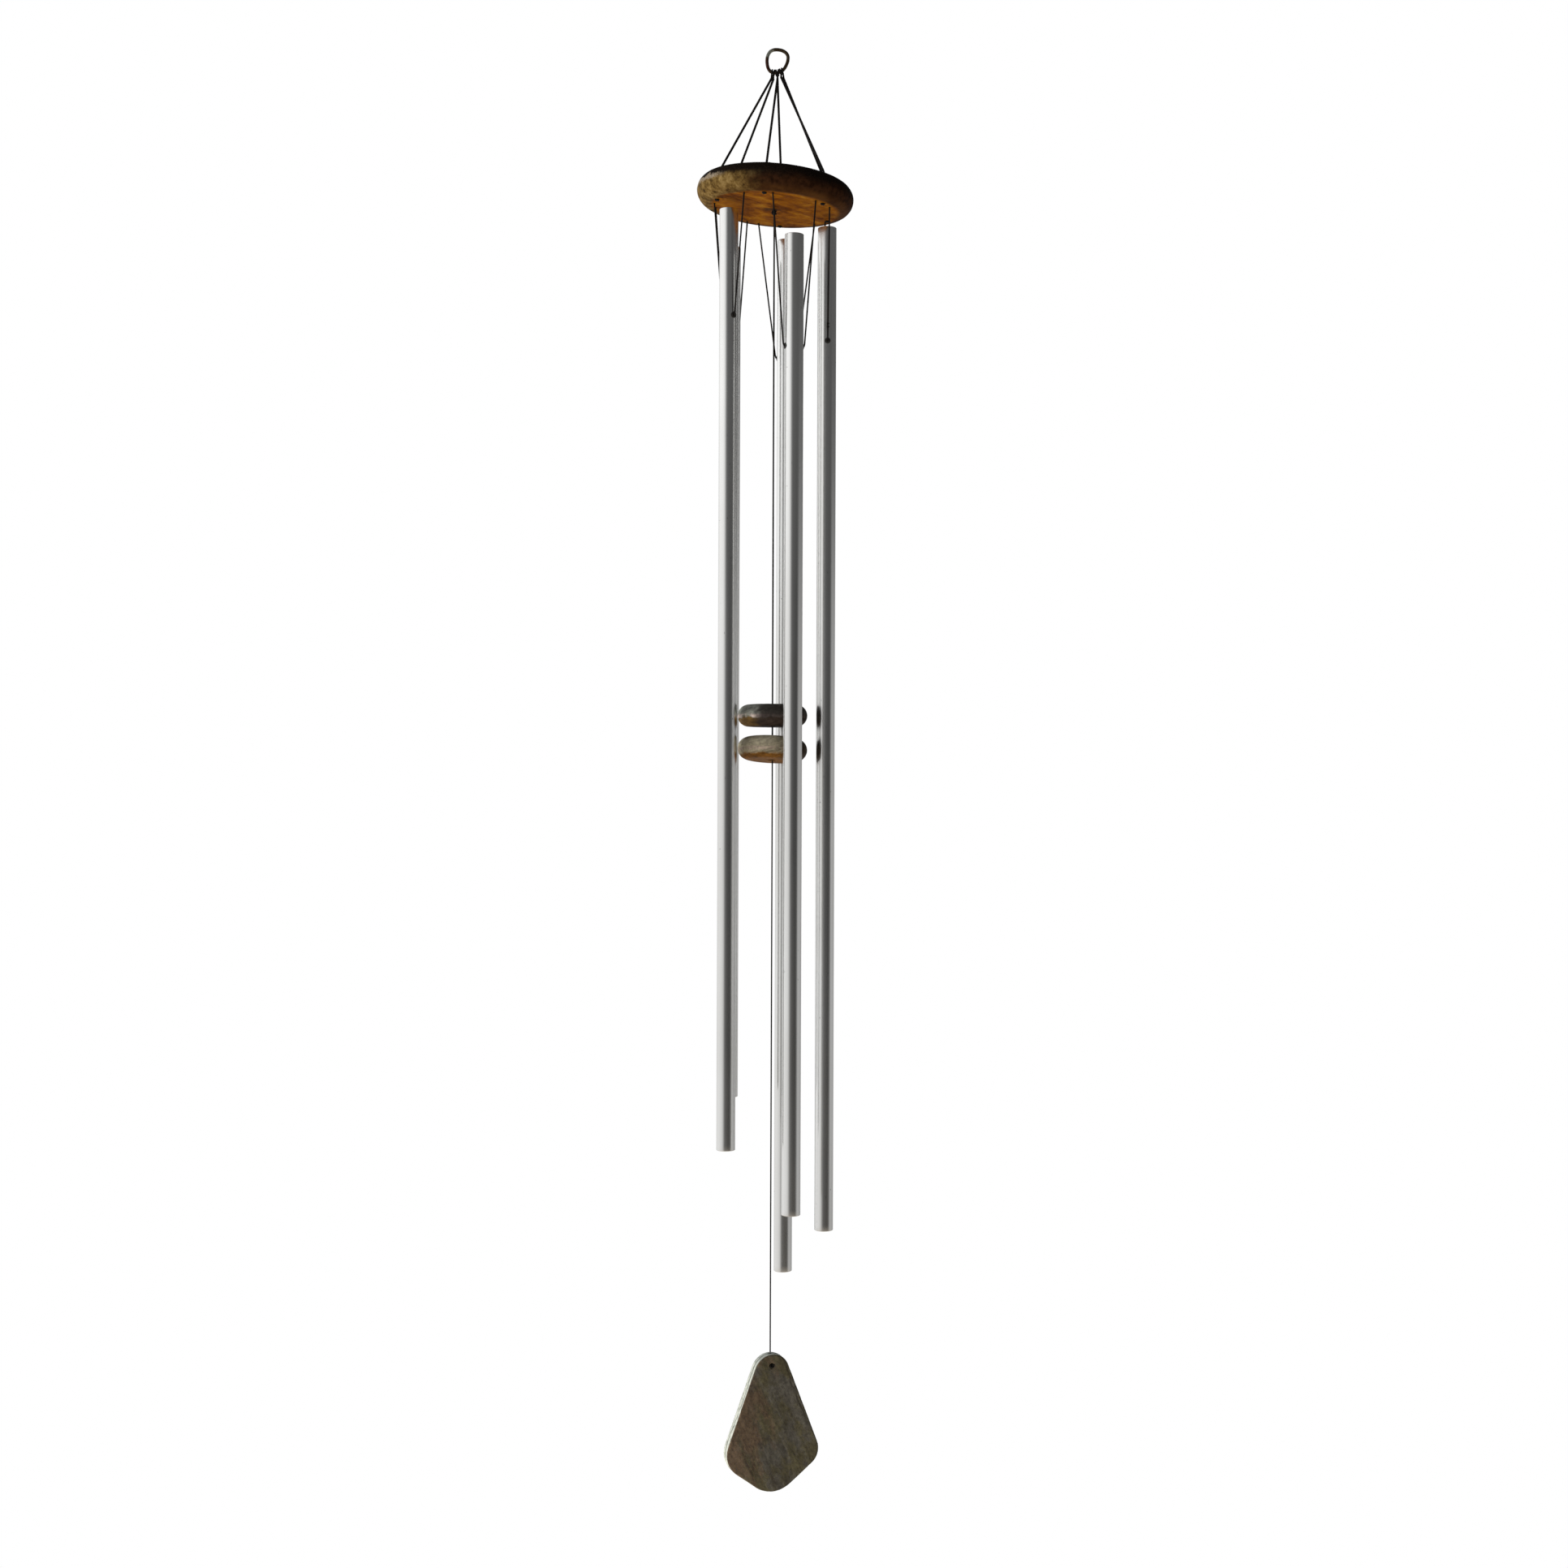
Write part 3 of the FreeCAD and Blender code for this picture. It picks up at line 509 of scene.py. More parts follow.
def rubber_material():
    g = Graph("black_rubber", Roughness=0.55)
    dust = g.noise(700)
    g.bump(dust, 0.2, 0.1 * MM)
    return g.finish(g.colours(dust, (0.35, (0.008, 0.008, 0.008)), (0.7, (0.035, 0.033, 0.030))))


def ring_material():
    g = Graph("tarnished_wire")
    stain = g.noise(160, detail=5)
    brown = g.colours(stain, (0.3, (0.030, 0.018, 0.010)), (0.6, (0.085, 0.060, 0.035)),
                      (0.8, (0.16, 0.12, 0.07)))
    rust_place = g.ramp(g.away(Vector((-8.6, 0, -14)) * MM), 9 * MM, 4 * MM)
    rusty = g.mix(g.times(rust_place, 0.8), brown, (0.055, 0.014, 0.008))
    worn_place = g.ramp(g.away(Vector((-7.0, 0, -1.5)) * MM), 6.5 * MM, 4.0 * MM)
    worn = g.times(worn_place, g.ramp(stain, 0.3, 0.5))
    colour = g.mix(worn, rusty, (0.34, 0.36, 0.31))
    feed(g.shader.inputs["Metallic"], g.ramp(stain, 0.2, 0.6))
    g.bump(stain, 0.35, 0.15 * MM)
    return g.finish(colour, g.greys(stain, (0.3, 0.6), (0.8, 0.38)))


def disc_material():
    """Oiled wood: golden orange below, near black on the weathered rim, and golden at the left, part wear
    and part painted light falling from the left.
    """
    g = Graph("disc_wood", Specular_IOR_Level=0.015)
    axis = DISC_PLACE.to_3x3() @ UP
    height = g.less(g.dot(axis), axis.dot(DISC_UNDERSIDE))
    radius = g.away(DISC_PLACE @ Vector((0, 0, DISC_THICKNESS / 2)), (1, 1, 0))
    blotch = g.noise(26, detail=5, roughness=0.6)
    patch = g.noise(60, detail=8, roughness=0.66, stretch=(1.5, 1, 1), turn=(0, 0, 0.5), distortion=0.4)
    fine = g.noise(420, detail=4)
    grit = g.noise(900, detail=3, roughness=0.7)

    under = g.colours(patch, (0.32, (0.072, 0.020, 0.0012)), (0.44, (0.175, 0.052, 0.0015)),
                      (0.56, (0.300, 0.108, 0.0025)), (0.72, (0.43, 0.215, 0.022)))
    streak = g.ramp(g.uneven(g.noise(21, detail=8, roughness=0.72), fine, 0.10), 0.60, 0.68)
    stained = g.times(streak, g.ramp(g.uneven(radius, blotch, 50 * MM), 34 * MM, 60 * MM))
    under = g.mix(g.times(stained, 0.8), under, (0.030, 0.012, 0.005))
    spot_middle = DISC_UNDERSIDE - Vector((3 * MM, 0, 0))
    spot = g.ramp(g.uneven(g.away(spot_middle, (1, 1.6, 1)), patch, 14 * MM), 11 * MM, 6 * MM)
    under = g.mix(g.times(spot, 0.8), under, (0.040, 0.018, 0.008))

    dark = g.colours(grit, (0.36, (0.0050, 0.0036, 0.0028)), (0.55, (0.0115, 0.0074, 0.0050)),
                     (0.72, (0.030, 0.021, 0.016)))
    russet = g.colours(g.noise(190, detail=6), (0.35, (0.013, 0.0050, 0.0024)),
                       (0.6, (0.038, 0.0150, 0.0062)))
    golden = g.colours(g.noise(120, detail=8, roughness=0.75), (0.36, (0.024, 0.013, 0.004)),
                       (0.50, (0.150, 0.090, 0.026)), (0.66, (0.31, 0.212, 0.080)))
    lower_rim = g.ramp(g.uneven(height, blotch, 16 * MM), 19 * MM, 8 * MM)
    rim = g.mix(lower_rim, dark, russet)
    # Lighter golden wood towards the left of the rim and shoulder: part sun-bleaching, part painted light
    # falling from the left.
    left_bleach_and_light = g.ramp(g.uneven(g.dot((-1, -0.25, 0)), g.noise(55, detail=6), 60 * MM), 26 * MM, 74 * MM)
    ragged = g.uneven(height, g.noise(75, detail=7, roughness=0.7), 15 * MM)
    worn = g.times(left_bleach_and_light, g.ramp(ragged, 18 * MM, 13 * MM))
    rim = g.mix(worn, rim, golden)
    # A pale speckled crescent along the crest of the rim, on the far left only: part bleached wood, part
    # painted light from the left.
    crest = g.times(g.ramp(ragged, 19 * MM, 17 * MM), g.ramp(ragged, 12 * MM, 15 * MM))
    crest = g.times(crest, g.ramp(g.dot((-1, 0, 0)), 46 * MM, 66 * MM))
    speck = g.colours(grit, (0.40, (0.14, 0.10, 0.060)), (0.60, (0.44, 0.36, 0.26)))
    rim = g.mix(crest, rim, speck)
    ochre = g.mix(g.ramp(blotch, 0.4, 0.6), (0.036, 0.0135, 0.0045), (0.074, 0.031, 0.009))
    tan = g.mix(left_bleach_and_light, ochre, golden)
    shoulder = g.ramp(g.uneven(radius, patch, 12 * MM), 61 * MM, 68 * MM)
    below = g.mix(shoulder, under, tan)
    colour = g.mix(g.ramp(g.uneven(height, blotch, 6 * MM), 1.5 * MM, 6 * MM), below, rim)
    grain = g.noise(70, detail=8, roughness=0.7, stretch=(4, 1, 1), turn=(0, 0, 0.5), distortion=0.3)
    top = g.colours(grain, (0.34, (0.020, 0.015, 0.011)), (0.66, (0.105, 0.084, 0.064)))
    colour = g.mix(g.ramp(g.uneven(height, patch, 1.2 * MM), 25.8 * MM, 26.9 * MM), colour, top)
    relief = g.plus(g.times(patch, 0.6), g.times(fine, 0.4))
    g.bump(relief, 0.45, 0.5 * MM)
    return g.finish(colour, g.greys(fine, (0.3, 0.50), (0.7, 0.74)))


def striker_material(name, centre, lean, upper, band, lower, dark, layers, shade_from, shade_to):
    """Weathered wood in layers: an upper colour, a pale band, a lower colour, and painted shade over the
    right side.
    """
    g = Graph(name, Specular_IOR_Level=0.06)
    axis = lean.to_3x3() @ UP
    blotch = g.noise(80, detail=6, roughness=0.62)
    mottle = g.noise(260, detail=5, roughness=0.65)
    fine = g.noise(620, detail=5)
    grain = g.noise(120, detail=7, roughness=0.65, stretch=(3.0, 3.0, 0.7), turn=(0, math.radians(-14), 0),
                    distortion=0.8)
    height = g.less(g.dot(axis), axis.dot(centre))
    wavy = g.uneven(height, blotch, 9 * MM)
    tone = g.greys(grain, (0.3, 0.42), (0.7, 1.45))
    speckle = g.colours(mottle, (0.3, (0.66, 0.64, 0.68)), (0.7, (1.30, 1.32, 1.26)))
    band_foot, low_from, low_to = layers
    colour = g.mix(g.ramp(wavy, low_from, low_to), upper, lower)
    in_band = g.times(g.ramp(wavy, band_foot + 5 * MM, band_foot + 3 * MM),
                     g.ramp(wavy, band_foot, band_foot + 1.2 * MM))
    # Painted shade: the dark colour spreads over the right side, away from the light on the left, from
    # shade_from to shade_to.
    painted_shade_right = g.ramp(g.plus(g.dot((1, -0.15, 0)), g.times(blotch, 22 * MM)), shade_from, shade_to)
    colour = g.mix(g.times(in_band, g.ramp(blotch, 0.40, 0.50)), colour, band)
    colour = g.mix(g.times(painted_shade_right, 0.94), colour, dark)
    colour = g.mix(1.0, g.mix(1.0, colour, tone, "MULTIPLY"), speckle, "MULTIPLY")
    g.bump(g.plus(g.times(grain, 0.6), g.times(fine, 0.4)), 0.5, 0.5 * MM)
    return g.finish(colour, g.greys(fine, (0.3, 0.46), (0.7, 0.70)))


def sail_material():
    """A weathered board: mottled, slantwise streaked faces, and a pale edge with a dark seam."""
    g = Graph("sail_wood", Specular_IOR_Level=0.2)
    depth = g.less(g.dot(SAIL_THROUGH), SAIL_THROUGH.dot(SAIL_TOP))
    slant = (0, math.radians(-24), SAIL_YAW)
    streaks = g.noise(95, detail=7, roughness=0.66, stretch=(0.8, 1, 3.4), turn=slant, distortion=0.7)
    hue = g.noise(60, detail=6, roughness=0.6, stretch=(1, 1, 1.6), turn=slant)
    warmth = g.noise(80, detail=6, roughness=0.6, stretch=(0.8, 1, 2.0), turn=slant)
    fine = g.noise(900, detail=4, stretch=(0.9, 1, 1.8), turn=slant)
    grit = g.noise(380, detail=5, roughness=0.75, stretch=(0.9, 1, 1.3), turn=slant)
    leftward = g.plus(g.dot((-1, 0, 0)), g.times(warmth, 130 * MM))
    face = g.mix(g.ramp(hue, 0.42, 0.60), (0.071, 0.063, 0.036), (0.076, 0.071, 0.060))
    face = g.mix(g.times(g.ramp(leftward, 62 * MM, 96 * MM), 0.9), face, (0.098, 0.068, 0.045))
    streaked = g.colours(streaks, (0.28, (0.56, 0.54, 0.54)), (0.72, (1.55, 1.55, 1.53)))
    gritty = g.colours(grit, (0.30, (0.50, 0.47, 0.50)), (0.70, (1.55, 1.58, 1.52)))
    face = g.mix(1.0, g.mix(1.0, face, streaked, "MULTIPLY"), gritty, "MULTIPLY")
    face = g.mix(g.times(g.ramp(grit, 0.60, 0.72), g.ramp(leftward, 54 * MM, 88 * MM)), face,
                 (0.20, 0.105, 0.052))
    face = g.mix(g.times(g.ramp(fine, 0.56, 0.72), 0.5), face, (0.115, 0.112, 0.112))
    across = Matrix.Rotation(SAIL_YAW, 3, "Z") @ Vector((1, 0, 0))
    from_top = g.less(SAIL_TOP.z, g.dot((0, 0, 1)))
    right_edge = g.less(g.times(from_top, 0.388), g.less(g.dot(across), 8 * MM))
    inset = g.uneven(right_edge, g.noise(40, detail=5), 14 * MM)
    scar = g.times(g.ramp(g.math("ABSOLUTE", inset), 1.8 * MM, 0.6 * MM),
                   g.ramp(from_top, 84 * MM, 55 * MM))
    face = g.mix(g.times(g.times(scar, g.ramp(grit, 0.38, 0.55)), 0.75), face, (0.020, 0.016, 0.013))
    wander = g.uneven(depth, g.noise(14, detail=3), 16 * MM)
    seam = g.ramp(g.math("ABSOLUTE", wander), 1.0 * MM, 0.3 * MM)
    pale = g.colours(g.noise(240, detail=5), (0.3, (0.34, 0.36, 0.31)), (0.6, (0.66, 0.69, 0.62)))
    edge = g.mix(g.times(seam, 0.75), pale, (0.075, 0.090, 0.085))
    edge = g.mix(g.ramp(depth, 3.6 * MM, 5.6 * MM), edge, (0.30, 0.34, 0.31))
    half = SAIL_THICKNESS / 2
    on_edge = g.ramp(g.math("ABSOLUTE", depth), half - 0.5 * MM, half - 1.1 * MM)
    outside_eye = g.ramp(g.away(SAIL_EYE), 4 * MM, 8 * MM)
    colour = g.mix(g.times(on_edge, outside_eye), face, edge)
    g.bump(g.plus(g.times(streaks, 0.5), g.times(grit, 0.5)), 0.5, 0.4 * MM)
    return g.finish(colour, g.greys(fine, (0.3, 0.62), (0.7, 0.82)))


CORD = cord_material()
ALUMINIUM = aluminium_material()
RUBBER = rubber_material()
TARNISH = ring_material()
DISC_WOOD = disc_material()
# For each striker, the last colour and the last two distances are its painted shade on the right side.
UPPER_WOOD = striker_material("upper_striker_wood", UPPER_STRIKER, Matrix(), (0.33, 0.34, 0.30),
                              (0.62, 0.52, 0.48), (0.130, 0.078, 0.026), (0.026, 0.019, 0.017),
                              (-3 * MM, -0.5 * MM, -4 * MM), -12 * MM, 6 * MM)
LOWER_WOOD = striker_material("lower_striker_wood", LOWER_STRIKER, LOWER_LEAN, (0.31, 0.275, 0.195),
                              (0.31, 0.25, 0.20), (0.135, 0.058, 0.010), (0.030, 0.019, 0.013),
                              (-5 * MM, -5.5 * MM, -9 * MM), 16 * MM, 34 * MM)
SAIL_WOOD = sail_material()

# ---- camera, floor and light -----------------------------------------

CAMERA_LENS = 44.72          # millimetres, for a sensor 36 mm wide
CAMERA_BACK = 1.988
CAMERA_ASIDE = 10.8 * MM
CAMERA_HEIGHT = -0.7477
CAMERA_ROLL = math.radians(-0.207)

# The brightness of the surroundings round the horizon, as (azimuth in degrees, brightness):
# 0 is towards the camera and 90 is the right. A bright yard lies to the left and behind, a
# shaded wall in front and to the right. ABOVE holds the same for the part above the horizon.
HORIZON = [(-180, 0.70), (-150, 0.80), (-100, 0.88), (-60, 0.80), (-40, 0.66), (-30, 0.46), (-20, 0.20),
           (-8, 0.11), (12, 0.07), (40, 0.05), (56, 0.07), (68, 0.30), (82, 0.48), (115, 0.42),
           (150, 0.42), (180, 0.70)]
ABOVE = [(-180, 0.55), (-150, 0.85), (-110, 1.15), (-60, 1.10), (-42, 0.92), (-30, 0.48), (-20, 0.19),
         (-8, 0.12), (12, 0.12), (60, 0.10), (100, 0.09), (140, 0.12), (165, 0.25), (180, 0.55)]


def make_camera():
    data = bpy.data.cameras.new("photo_view")
    data.sensor_width = 36
    data.lens = CAMERA_LENS
    camera = bpy.data.objects.new("photo_view", data)
    camera.location = (CAMERA_ASIDE, -CAMERA_BACK, CAMERA_HEIGHT)
    camera.rotation_euler = (math.radians(90), CAMERA_ROLL, 0)
    bpy.context.scene.collection.objects.link(camera)
    bpy.context.scene.camera = camera


def area_light(name, place, aim, size, power, colour=(1, 1, 1)):
    data = bpy.data.lights.new(name, "AREA")
    data.shape = "RECTANGLE"
    data.size, data.size_y = size
    data.energy = power
    data.color = colour
    lamp = bpy.data.objects.new(name, data)
    lamp.location = place
    lamp.rotation_euler = (Vector(aim) - Vector(place)).to_track_quat("-Z", "Y").to_euler()
    lamp.visible_glossy = False
    bpy.context.scene.collection.objects.link(lamp)


def make_floor():
    """A plain white floor, well below the sail, that neither lights nor shades the object."""
    across, drop = 6.0, -2.6
    mesh = bpy.data.meshes.new("floor")
    mesh.from_pydata([(-across, -across, drop), (across, -across, drop), (across, across, drop),
                      (-across, across, drop)], [], [(0, 1, 2, 3)])
    paint = Graph("floor_paint", Base_Color=(0, 0, 0, 1), Specular_IOR_Level=0,
                  Emission_Color=(1, 1, 1, 1), Emission_Strength=1.0)
    mesh.materials.append(paint.material)
    floor = bpy.data.objects.new("floor", mesh)
    floor.visible_diffuse = floor.visible_glossy = floor.visible_shadow = False
    bpy.context.scene.collection.objects.link(floor)


def make_world():
    """White behind the object, and the yard's light and reflections all round it."""
    world = bpy.data.worlds.new("porch")
    world.use_nodes = True
    bpy.context.scene.world = world
    tree = world.node_tree
    tree.nodes.clear()

    def node(kind, inputs, **settings):
        return add_node(tree, kind, inputs, **settings)

    def around(stops):
        return set_stops(node("ShaderNodeValToRGB", {0: turn}), [
            (azimuth / 360 + 0.5, (brightness,) * 3) for azimuth, brightness in stops])

    def height_band(low, high):
        return node("ShaderNodeMapRange", {"Value": way["Z"], "From Min": low, "From Max": high},
                    interpolation_type="SMOOTHSTEP").outputs["Result"]

    def blended(factor, a, b):
        return node("ShaderNodeMix", {0: factor, 6: a, 7: b}, data_type="RGBA").outputs[2]

    way = node("ShaderNodeSeparateXYZ", {0: node("ShaderNodeTexCoord", {}).outputs["Generated"]}).outputs
    backwards = node("ShaderNodeMath", {0: way["Y"], 1: -1.0}, operation="MULTIPLY").outputs[0]
    azimuth = node("ShaderNodeMath", {0: way["X"], 1: backwards}, operation="ARCTAN2").outputs[0]
    turn = node("ShaderNodeMath", {0: azimuth, 1: 1 / (2 * math.pi), 2: 0.5},
                operation="MULTIPLY_ADD").outputs[0]
    level = blended(height_band(0.02, 0.20), around(HORIZON), around(ABOVE))
    grounded = blended(height_band(-0.25, -0.55), level, (0.62, 0.55, 0.46, 1))
    roofed = blended(height_band(0.40, 0.75), grounded, (0.10, 0.10, 0.10, 1))
    surround = node("ShaderNodeBackground", {"Color": roofed, "Strength": 1.0})
    white = node("ShaderNodeBackground", {"Color": (1, 1, 1, 1), "Strength": 1.0})
    seen = node("ShaderNodeLightPath", {}).outputs["Is Camera Ray"]
    choice = node("ShaderNodeMixShader", {0: seen, 1: surround.outputs[0], 2: white.outputs[0]})
    node("ShaderNodeOutputWorld", {0: choice.outputs[0]})


make_camera()
make_floor()
make_world()
area_light("yard_light", (-1.9, -1.2, -0.1), (0, 0, -0.7), (1.4, 2.4), 26)
area_light("ground_bounce", (-0.5, -0.6, -1.9), (0, 0, -0.2), (1.2, 1.2), 12, (1, 0.93, 0.84))
bpy.context.scene.view_settings.view_transform = "Standard"

# ---- ring and hitches ------------------------------------------------


def make_ring():
    corners = [Vector((across, 0, up)) * MM for across, up in RING_CORNERS]
    line = spaced(spline_line(corners, closed=True), 0.4 * MM, closed=True)
    sides = 28
    beaten = np.array([[1 + 0.035 * noise.noise(Vector(p) * 260 + Vector((j * 0.6, 0, 0)))
                        for j in range(sides)] for p in line])
    rings = tube_rings(line, beaten * WIRE / 2, sides, closed=True)
    placed(made("bent_wire_ring", [skin(rings, closed=True)]), TARNISH, "ring", "ring_steel", "hanging_ring")


def hitch_route(centre, along, side):
    """Half of a cow hitch on the wire, from the middle of its bridge round to the foot of a strand."""
    reach = WIRE / 2 + HITCH_CORD / 2 + 0.15 * MM
    turns = [
        # along the wire in cord thicknesses, angle from the front, and distance out in reaches
        (0.0, -52, 1.62), (0.35, -66, 1.50), (0.65, -100, 1.10), (0.74, -150, 1.03), (0.74, 175, 1.06),
        (0.72, 120, 1.06), (0.68, 65, 1.06), (0.60, 15, 1.03), (0.52, -30, 1.0),
    ]
    forward, up = Vector((0, -1, 0)), along.cross(Vector((0, 1, 0)))
    if up.z < 0:
        up = -up
    route = []
    for across, angle, out in turns:
        a = math.radians(angle)
        route.append(centre + along * (side * across * HITCH_CORD)
                     + (forward * math.cos(a) + up * math.sin(a)) * (reach * out))
    return route


def make_hitches():
    shapes = []
    for _, centre, along, tops, _ in hitch_places():
        left = hitch_route(centre, along, -1)
        right = hitch_route(centre, along, 1)
        ends = [top - UP * HITCH_OVERLAP for top in tops]
        above = [top + UP * HITCH_ENTRY for top in tops]
        route = [ends[0], above[0]] + left[::-1] + right[1:] + [above[1], ends[1]]
        shapes.append(stub(route, STRAND, waist=HITCH_CORD))
    tied("cow_hitches", shapes, "hitches", "ring_hitches")


# ---- disc ------------------------------------------------------------


def disc_holes():
    """Each hole through the disc: its radius, angle and diameter."""
    holes = [(0.0, 0, CENTRE_HOLE)]
    for *_, first, second in TUBES:
        holes += [(HOLE_CIRCLE, first, LACING_HOLE), (HOLE_CIRCLE, second, LACING_HOLE)]
    for *_, front, back in HITCHES:
        holes += [(HOLE_CIRCLE, front, STRAND_HOLE), (HOLE_CIRCLE, back, STRAND_HOLE)]
    return holes


def make_disc():
    half = DISC_THICKNESS / 2
    flat = DISC_DIAMETER / 2 - half
    profile = run((0, 0), (flat, 0), 44) + arc((flat, half), half, -90, 90, 34)[:-1]
    profile += run((flat, 2 * half), (0, 2 * half), 44) + [(0, 2 * half)]
    disc = made("weathered_disc", [lathe(profile, 288)])

    def weathering(p, _):
        grain = noise.noise(Vector((p.x * 45, p.y * 300, p.z * 300)))
        dents = noise.noise(p * 48)
        pocks = max(0.0, noise.noise(p * 230) - 0.35)
        return (0.07 * grain + 0.22 * dents - 0.9 * pocks) * MM

    displace(disc, weathering)
    drills = []
    for radius, angle, diameter in disc_holes():
        place = Matrix.Translation(polar(radius, angle))
        hole, worn, clear = diameter / 2, 0.5 * MM, 2 * MM
        drills.append(lathe([
            (0, -clear), (hole + worn + clear, -clear), (hole, worn), (hole, 2 * half - worn),
            (hole + worn + clear, 2 * half + clear), (0, 2 * half + clear),
        ], 24, place))
    cut(disc, made("drills", drills))
    disc.data.transform(DISC_PLACE)
    disc.data.set_sharp_from_angle(angle=math.radians(50))
    placed(disc, DISC_WOOD, "canopy", "disc_wood", "top_disc")


# ---- cords from the ring to the disc, and their knots ----------------


TURN_REACH = 6               # cord thicknesses from a turn to the next point of its route
ABOVE_DISC = 1.2 * MM        # from the disc's top up to where a strand turns into its hole
STRAND_KNOT = (5.4 * MM, 2.8 * MM, 1.7 * MM)                # width, height, cord
STRAND_END = ((0, 0, 2.4), (0.3, 0, 0.4), (1.2, 0.3, -0.4))  # out of the hole, in millimetres


def on_disc(radius, angle, height):
    return DISC_PLACE @ polar(radius, angle, height)


def make_strand(name, top, which, angle):
    edge = on_disc(HOLE_CIRCLE, angle, DISC_THICKNESS + ABOVE_DISC)
    bottom = on_disc(HOLE_CIRCLE, angle, 0)
    near_edge = edge + (top - edge).normalized() * (TURN_REACH * STRAND)
    in_hole = on_disc(HOLE_CIRCLE, angle, DISC_THICKNESS - 5 * MM)
    declared(f"strand_{name}_{which}", [top, near_edge, edge, in_hole, bottom], STRAND, "canopy",
             f"suspension_cord_{name}_{which}")


def make_strands():
    knots = []
    for name, _, _, tops, holes in hitch_places():
        for which, top, angle in zip(("front", "back"), tops, holes):
            make_strand(name, top, which, angle)
            turned = Matrix.Rotation(math.radians(angle * 7), 4, "Z")
            place = DISC_PLACE @ Matrix.Translation(polar(HOLE_CIRCLE, angle, -0.5 * MM)) @ turned
            knots.append(knot(place, *STRAND_KNOT))
            knots.append(stub([place @ (Vector(p) * MM) for p in STRAND_END], STRAND_KNOT[2]))
    tied("strand_knots", knots, "canopy", "suspension_knots")


# ---- lacing over the disc, and the cords that carry the tubes --------


STITCH_DETOUR = 2.6 * MM     # how far out a stitch goes round a strand that it passes
STITCH_HEIGHT = 1.0 * MM     # from the disc's top up to a stitch's middle
LEVEL_RUN = 3 * MM           # how far a cord runs level before and after a turn
MOUTH_GAP = 1.5 * MM         # from a hole's mouth to the end of the cord below it


def make_lacing():
    """The stitches over the disc, each from one tube's last hole to the next tube's first."""
    over = DISC_THICKNESS + STITCH_HEIGHT
    strands = [angle for *_, front, back in HITCHES for angle in (front, back)]
    for (name, _, _, _, start), (_, _, _, stop, _) in zip(TUBES, TUBES[1:] + TUBES[:1]):
        rise = [on_disc(HOLE_CIRCLE, start, height) for height in (2 * MM, over - TURN_REACH * LACE, over)]
        fall = [on_disc(HOLE_CIRCLE, stop, height) for height in (over, over - TURN_REACH * LACE, 2 * MM)]
        passed = [on_disc(HOLE_CIRCLE + STITCH_DETOUR, angle, over)
                  for angle in sorted(strands) if start < angle < stop]
        turns = [rise[-1]] + passed + [fall[0]]
        lead = (turns[1] - turns[0]).normalized() * LEVEL_RUN
        lag = (turns[-2] - turns[-1]).normalized() * LEVEL_RUN
        route = rise + [rise[-1] + lead] + passed + [fall[0] + lag] + fall
        declared(f"disc_stitch_{name}", route, LACE, "canopy", "lacing_stitches")


def tube_places():
    """Each tube's name, length, top, cord hole, direction across its holes, and mouths in the disc."""
    for name, length, drop, first, second in TUBES:
        mouths = [on_disc(HOLE_CIRCLE, first, 0), on_disc(HOLE_CIRCLE, second, 0)]
        middle = (mouths[0] + mouths[1]) / 2
        along = (mouths[1] - mouths[0]) * Vector((1, 1, 0))
        top = Vector((middle.x, middle.y, -drop * MM))
        hole = top - UP * (TUBE_HOLE_SHARE * length * MM)
        yield name, length * MM, top, hole, along.normalized(), mouths


def make_tube_cord(name, hole, along, mouths):
    left, right = hole - along * GROMMET_TURN, hole + along * GROMMET_TURN
    first_up, last_up = (mouths[0] - left).normalized(), (mouths[1] - right).normalized()
    inwards = along * LEVEL_RUN
    route = [mouths[0] + first_up * MOUTH_GAP, left + first_up * (TURN_REACH * LACE), left, left + inwards,
             right - inwards, right, right + last_up * (TURN_REACH * LACE), mouths[1] + last_up * MOUTH_GAP]
    declared(f"lace_{name}", route, LACE, f"cord_{name}", f"tube_cord_{name}")


def make_tube(name, length, top, hole, along):
    outer, inner, rounding, through = TUBE_OUTSIDE / 2, TUBE_OUTSIDE / 2 - TUBE_WALL, 0.5 * MM, 20 * MM
    foot = -length + rounding
    profile = arc((outer - rounding, -rounding), rounding, 90, 0, 6)
    profile += run((outer, -rounding), (outer, foot), 160)[1:]
    profile += [(outer, foot)] + arc((outer - rounding, foot), rounding, 0, -90, 6)[1:]
    profile += run((inner, -length), (inner, 0), 60) + [(inner, 0)]
    tube = made(f"polished_tube_{name}", [lathe(profile, 128, closed=True)], sharp=30)
    drop = Matrix.Translation((0, 0, hole.z - top.z))
    drill = lathe([(0, -through), (TUBE_HOLE / 2, -through), (TUBE_HOLE / 2, through), (0, through)], 40,
                  drop @ Matrix.Rotation(math.pi / 2, 4, "Y"))
    cut(tube, made("drill", [drill]))
    turn = math.atan2(along.y, along.x)
    tube.data.transform(Matrix.Translation(top) @ Matrix.Rotation(turn, 4, "Z"))
    tube.data.set_sharp_from_angle(angle=math.radians(30))
    placed(tube, ALUMINIUM, f"tube_{name}", "tube_aluminium", f"chime_tube_{name}")


